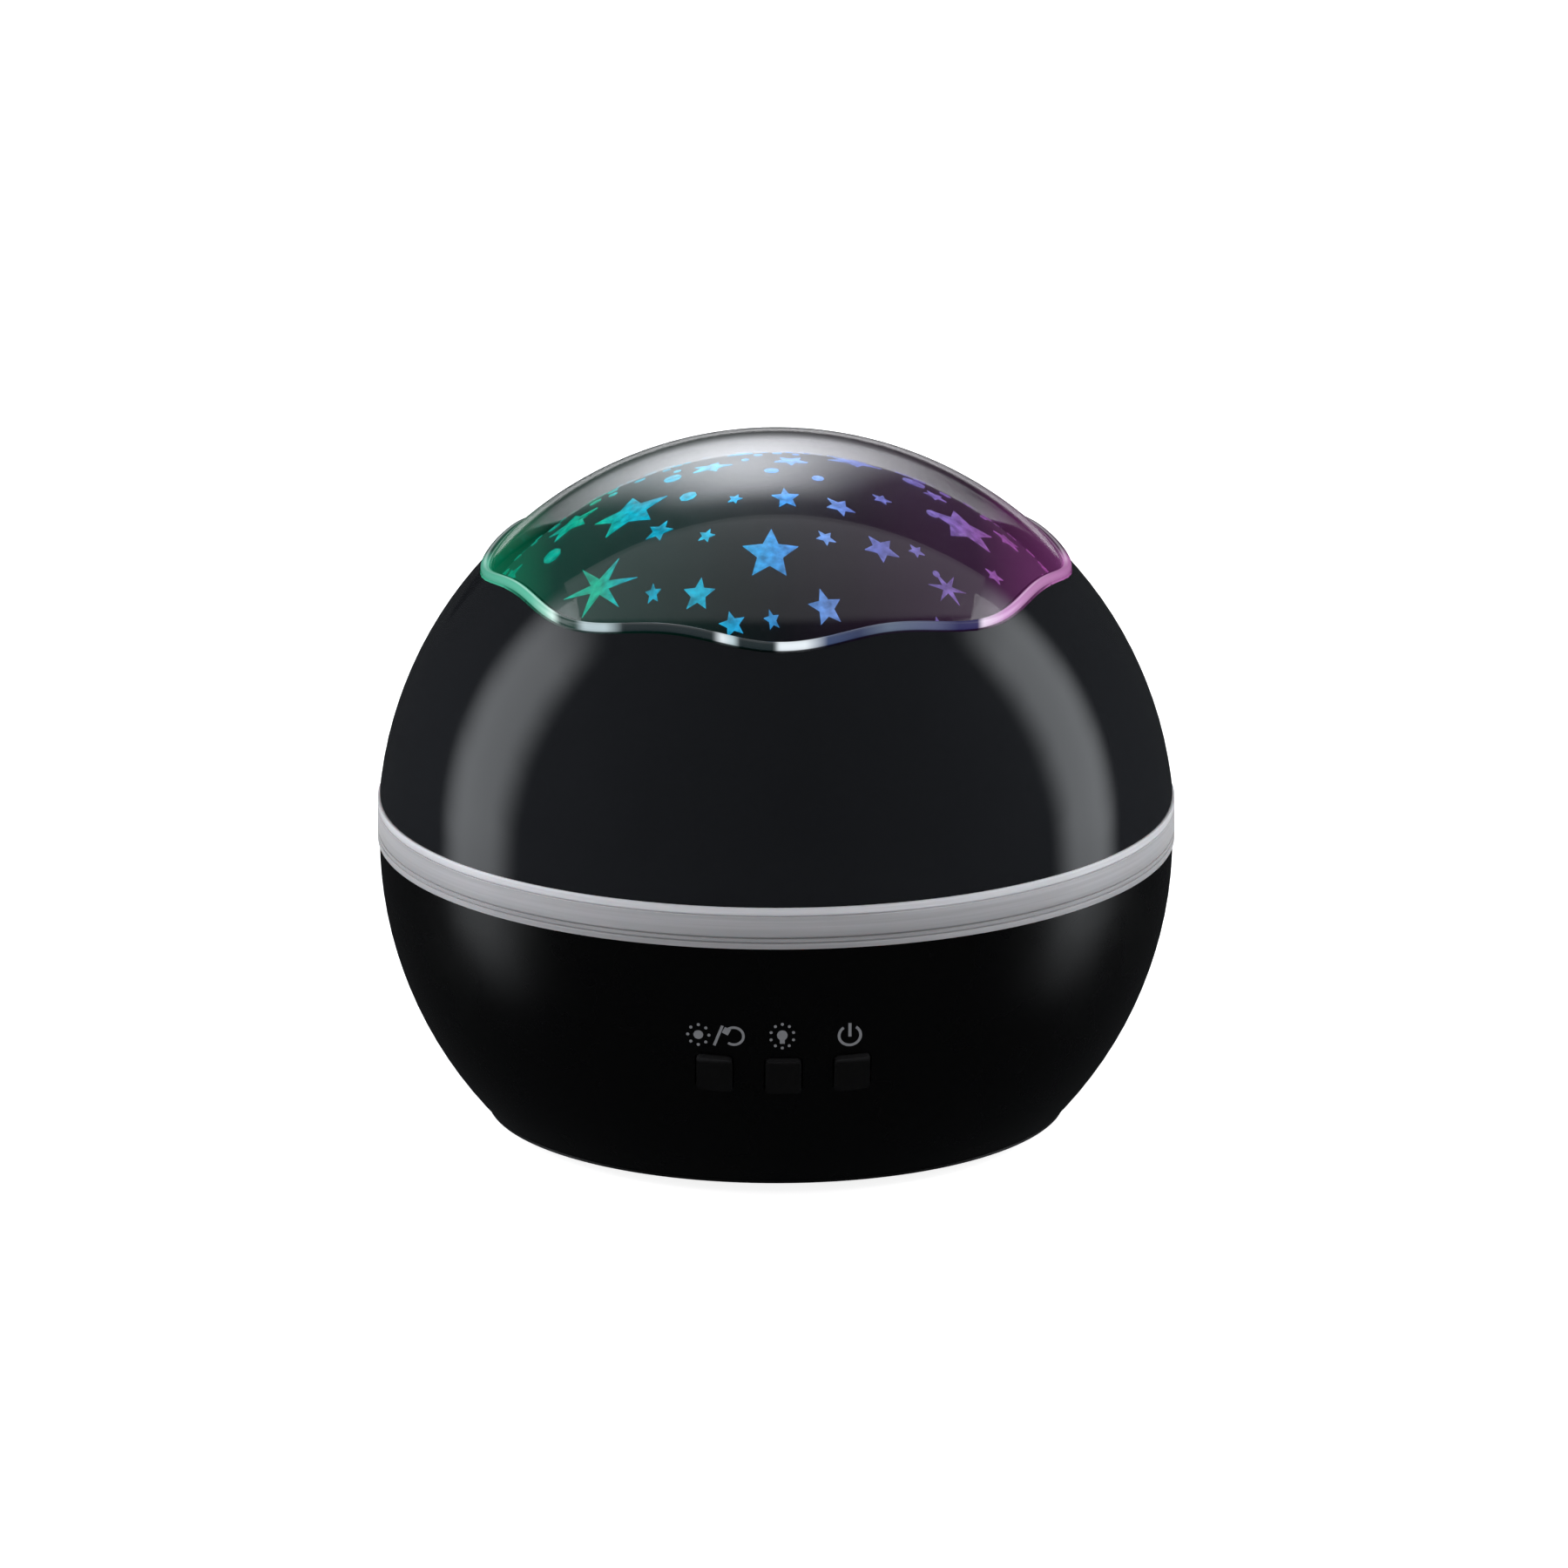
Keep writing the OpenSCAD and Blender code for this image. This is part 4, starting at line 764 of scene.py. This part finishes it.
for step in range(AROUND):
    faces.append([dome_point(0, 0, step + 1), dome_point(0, 0, step),
                  dome_point(1, 0, step), dome_point(1, 0, step + 1)])
dome = outward(flat_piece("dome_skin", points, faces))

# The bead's glow dims beside the dome and comes back behind it: spans of Y, then shares of light.
BESIDE = ((1 * MM, 6 * MM), (1.0, 0.12))
BEHIND = ((24 * MM, 34 * MM), (0.0, 0.88))


def acrylic(name, glow_colours, reach, rough, clear, tones, glow=1.0, shaded_edge=False):
    """Acrylic that glows with the light inside, painted on as an emission: its glow colours run
    across, along X. tones is how much light a wall lets through at heights in mm."""
    mat, tree, out = empty_material(name)
    body = node(tree, "ShaderNodeBsdfPrincipled", {
        "Roughness": rough, "IOR": 1.49, "Transmission Weight": clear, "Emission Strength": glow})
    place = node(tree, "ShaderNodeTexCoord")
    cloud = node(tree, "ShaderNodeTexNoise", {"Scale": 40.0, "Detail": 2.0})
    axes = node(tree, "ShaderNodeSeparateXYZ")
    lowest, highest = tones[0][0], tones[-1][0]
    shade = colour_ramp(tree, rescale(tree, axes.outputs["Z"], (lowest * MM, highest * MM)),
                        [((z - lowest) / (highest - lowest), (tone * 0.98, tone * 0.98, tone))
                         for z, tone in tones])
    uneven = rescale(tree, cloud.outputs["Fac"], (0.0, 1.0), (0.97, 1.0))
    light = across(tree, place, glow_colours, reach)
    if shaded_edge:
        # The glow is painted darker where the bead turns away, a painted shade along its edges.
        lens = node(tree, "ShaderNodeLayerWeight", {"Blend": 0.2})
        middle = math_node(tree, "SUBTRACT", 1.0, lens.outputs["Facing"])
        near = math_node(tree, "ADD", rescale(tree, axes.outputs["Y"], *BESIDE),
                         rescale(tree, axes.outputs["Y"], *BEHIND))
        light = vector_node(tree, "SCALE", light, scale=math_node(tree, "MULTIPLY", middle, near))
    join(tree, (place.outputs["Object"], axes.inputs[0]),
         (place.outputs["Object"], cloud.inputs["Vector"]),
         (vector_node(tree, "SCALE", shade, scale=uneven), body.inputs["Base Color"]),
         (light, body.inputs["Emission Color"]), (body.outputs[0], out.inputs["Surface"]))
    return mat


# The light inside, painted on the dome as a glow: green at the left, magenta at the right.
DOME_GLOW_COLOURS = ((0.0, (0.0, 0.09, 0.04)), (0.14, (0.0, 0.008, 0.005)), (0.5, (0.0, 0.0, 0.0)),
              (0.82, (0.006, 0.001, 0.006)), (1.0, (0.07, 0.012, 0.06)))
SMOKE = ((90, 0.42), (98, 0.44), (101, 0.50), (104, 0.58), (107, 0.70), (110, 0.84), (114, 0.92))
dome.data.materials.append(acrylic("clear_acrylic", DOME_GLOW_COLOURS, LIGHT_REACH, rough=0.02, clear=1.0,
                                   tones=SMOKE))
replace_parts(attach(dome, "cover"), "clear_dome")

BEAD_R = 0.78 * MM
BEAD_PROUD = 0.7 * MM
BEAD_STEPS = 720
BEAD_SIDES = 20
BEAD_REACH = 48 * MM
# The bead's emission is a painted glow of the light inside with painted highlights: the silver, white
# and pale stops are painted glints.
MINT, PINK, NIGHT = (0.10, 0.52, 0.36), (0.60, 0.30, 0.60), (0.003, 0.010, 0.012)
GLINT_SILVER, GLINT_WHITE = (0.40, 0.50, 0.53), (0.66, 0.72, 0.76)
BEAD_GLOW_AND_GLINTS = ((0.0, MINT), (0.08, MINT), (0.105, (0.30, 0.66, 0.52)), (0.118, (0.62, 0.85, 0.78)),
              (0.13, (0.0, 0.03, 0.02)), (0.155, (0.0, 0.03, 0.02)), (0.17, GLINT_SILVER), (0.205, GLINT_SILVER),
              (0.235, NIGHT), (0.385, NIGHT), (0.40, GLINT_WHITE), (0.418, GLINT_SILVER), (0.43, NIGHT),
              (0.487, NIGHT), (0.497, GLINT_WHITE), (0.54, GLINT_WHITE), (0.578, (0.03, 0.05, 0.12)),
              (0.63, (0.02, 0.03, 0.08)), (0.68, (0.09, 0.12, 0.18)), (0.76, (0.07, 0.08, 0.16)),
              (0.80, (0.015, 0.015, 0.08)), (0.832, (0.02, 0.015, 0.09)), (0.842, (0.78, 0.66, 0.82)),
              (0.88, PINK), (0.93, (0.50, 0.22, 0.46)), (1.0, (0.55, 0.19, 0.49)))
BEAD_TONES = ((88, 0.03), (97, 0.04))
bead_clear = acrylic("bead_acrylic", BEAD_GLOW_AND_GLINTS, BEAD_REACH, rough=0.06, clear=0.15, tones=BEAD_TONES,
                     glow=1.2, shaded_edge=True)

# The bead's path: a circle of radius 1 is stretched to the seam's waves and lifted onto the ball.
tree, first, last = new_tree("rim_bead", ("Seam radius", "Float", SEAM_R),
                             ("Wave height", "Float", WAVE), ("Waves", "Float", float(WAVES)),
                             ("Ball radius", "Float", DOME_R), ("Ball centre", "Float", DOME_Z),
                             ("Bead radius", "Float", BEAD_R))
circle = node(tree, "GeometryNodeCurvePrimitiveCircle", {"Resolution": BEAD_STEPS, "Radius": 1.0})
here = node(tree, "GeometryNodeInputPosition")
axes = node(tree, "ShaderNodeSeparateXYZ")
tree.links.new(here.outputs[0], axes.inputs[0])
ahead = math_node(tree, "MULTIPLY", axes.outputs["Y"], -1)
turn = math_node(tree, "ARCTAN2", axes.outputs["X"], ahead)
wave = math_node(tree, "COSINE", math_node(tree, "MULTIPLY", turn, first.outputs["Waves"]))
radius = math_node(tree, "ADD", first.outputs["Seam radius"],
                   math_node(tree, "MULTIPLY", wave, first.outputs["Wave height"]))
ball = first.outputs["Ball radius"]
rise = math_node(tree, "SQRT", math_node(tree, "SUBTRACT", math_node(tree, "MULTIPLY", ball, ball),
                                         math_node(tree, "MULTIPLY", radius, radius)))
spot = node(tree, "ShaderNodeCombineXYZ")
put = node(tree, "GeometryNodeSetPosition")
profile = node(tree, "GeometryNodeCurvePrimitiveCircle", {"Resolution": BEAD_SIDES})
tube = node(tree, "GeometryNodeCurveToMesh")
join(tree, (math_node(tree, "MULTIPLY", axes.outputs["X"], radius), spot.inputs["X"]),
     (math_node(tree, "MULTIPLY", axes.outputs["Y"], radius), spot.inputs["Y"]),
     (math_node(tree, "ADD", rise, first.outputs["Ball centre"]), spot.inputs["Z"]),
     (circle.outputs["Curve"], put.inputs["Geometry"]), (spot.outputs[0], put.inputs["Position"]),
     (first.outputs["Bead radius"], profile.inputs["Radius"]),
     (put.outputs[0], tube.inputs["Curve"]), (profile.outputs["Curve"], tube.inputs["Profile Curve"]))
finish_tree(tree, tube.outputs[0], last, bead_clear)
bead = outward(grown(flat_piece("dome_bead", [(0, 0, 0)], []), tree,
                     Seam_radius=SEAM_R - RIM_GAP - BEAD_R, Ball_radius=DOME_R + BEAD_PROUD - BEAD_R))
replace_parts(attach(bead, "cover"), "clear_dome")
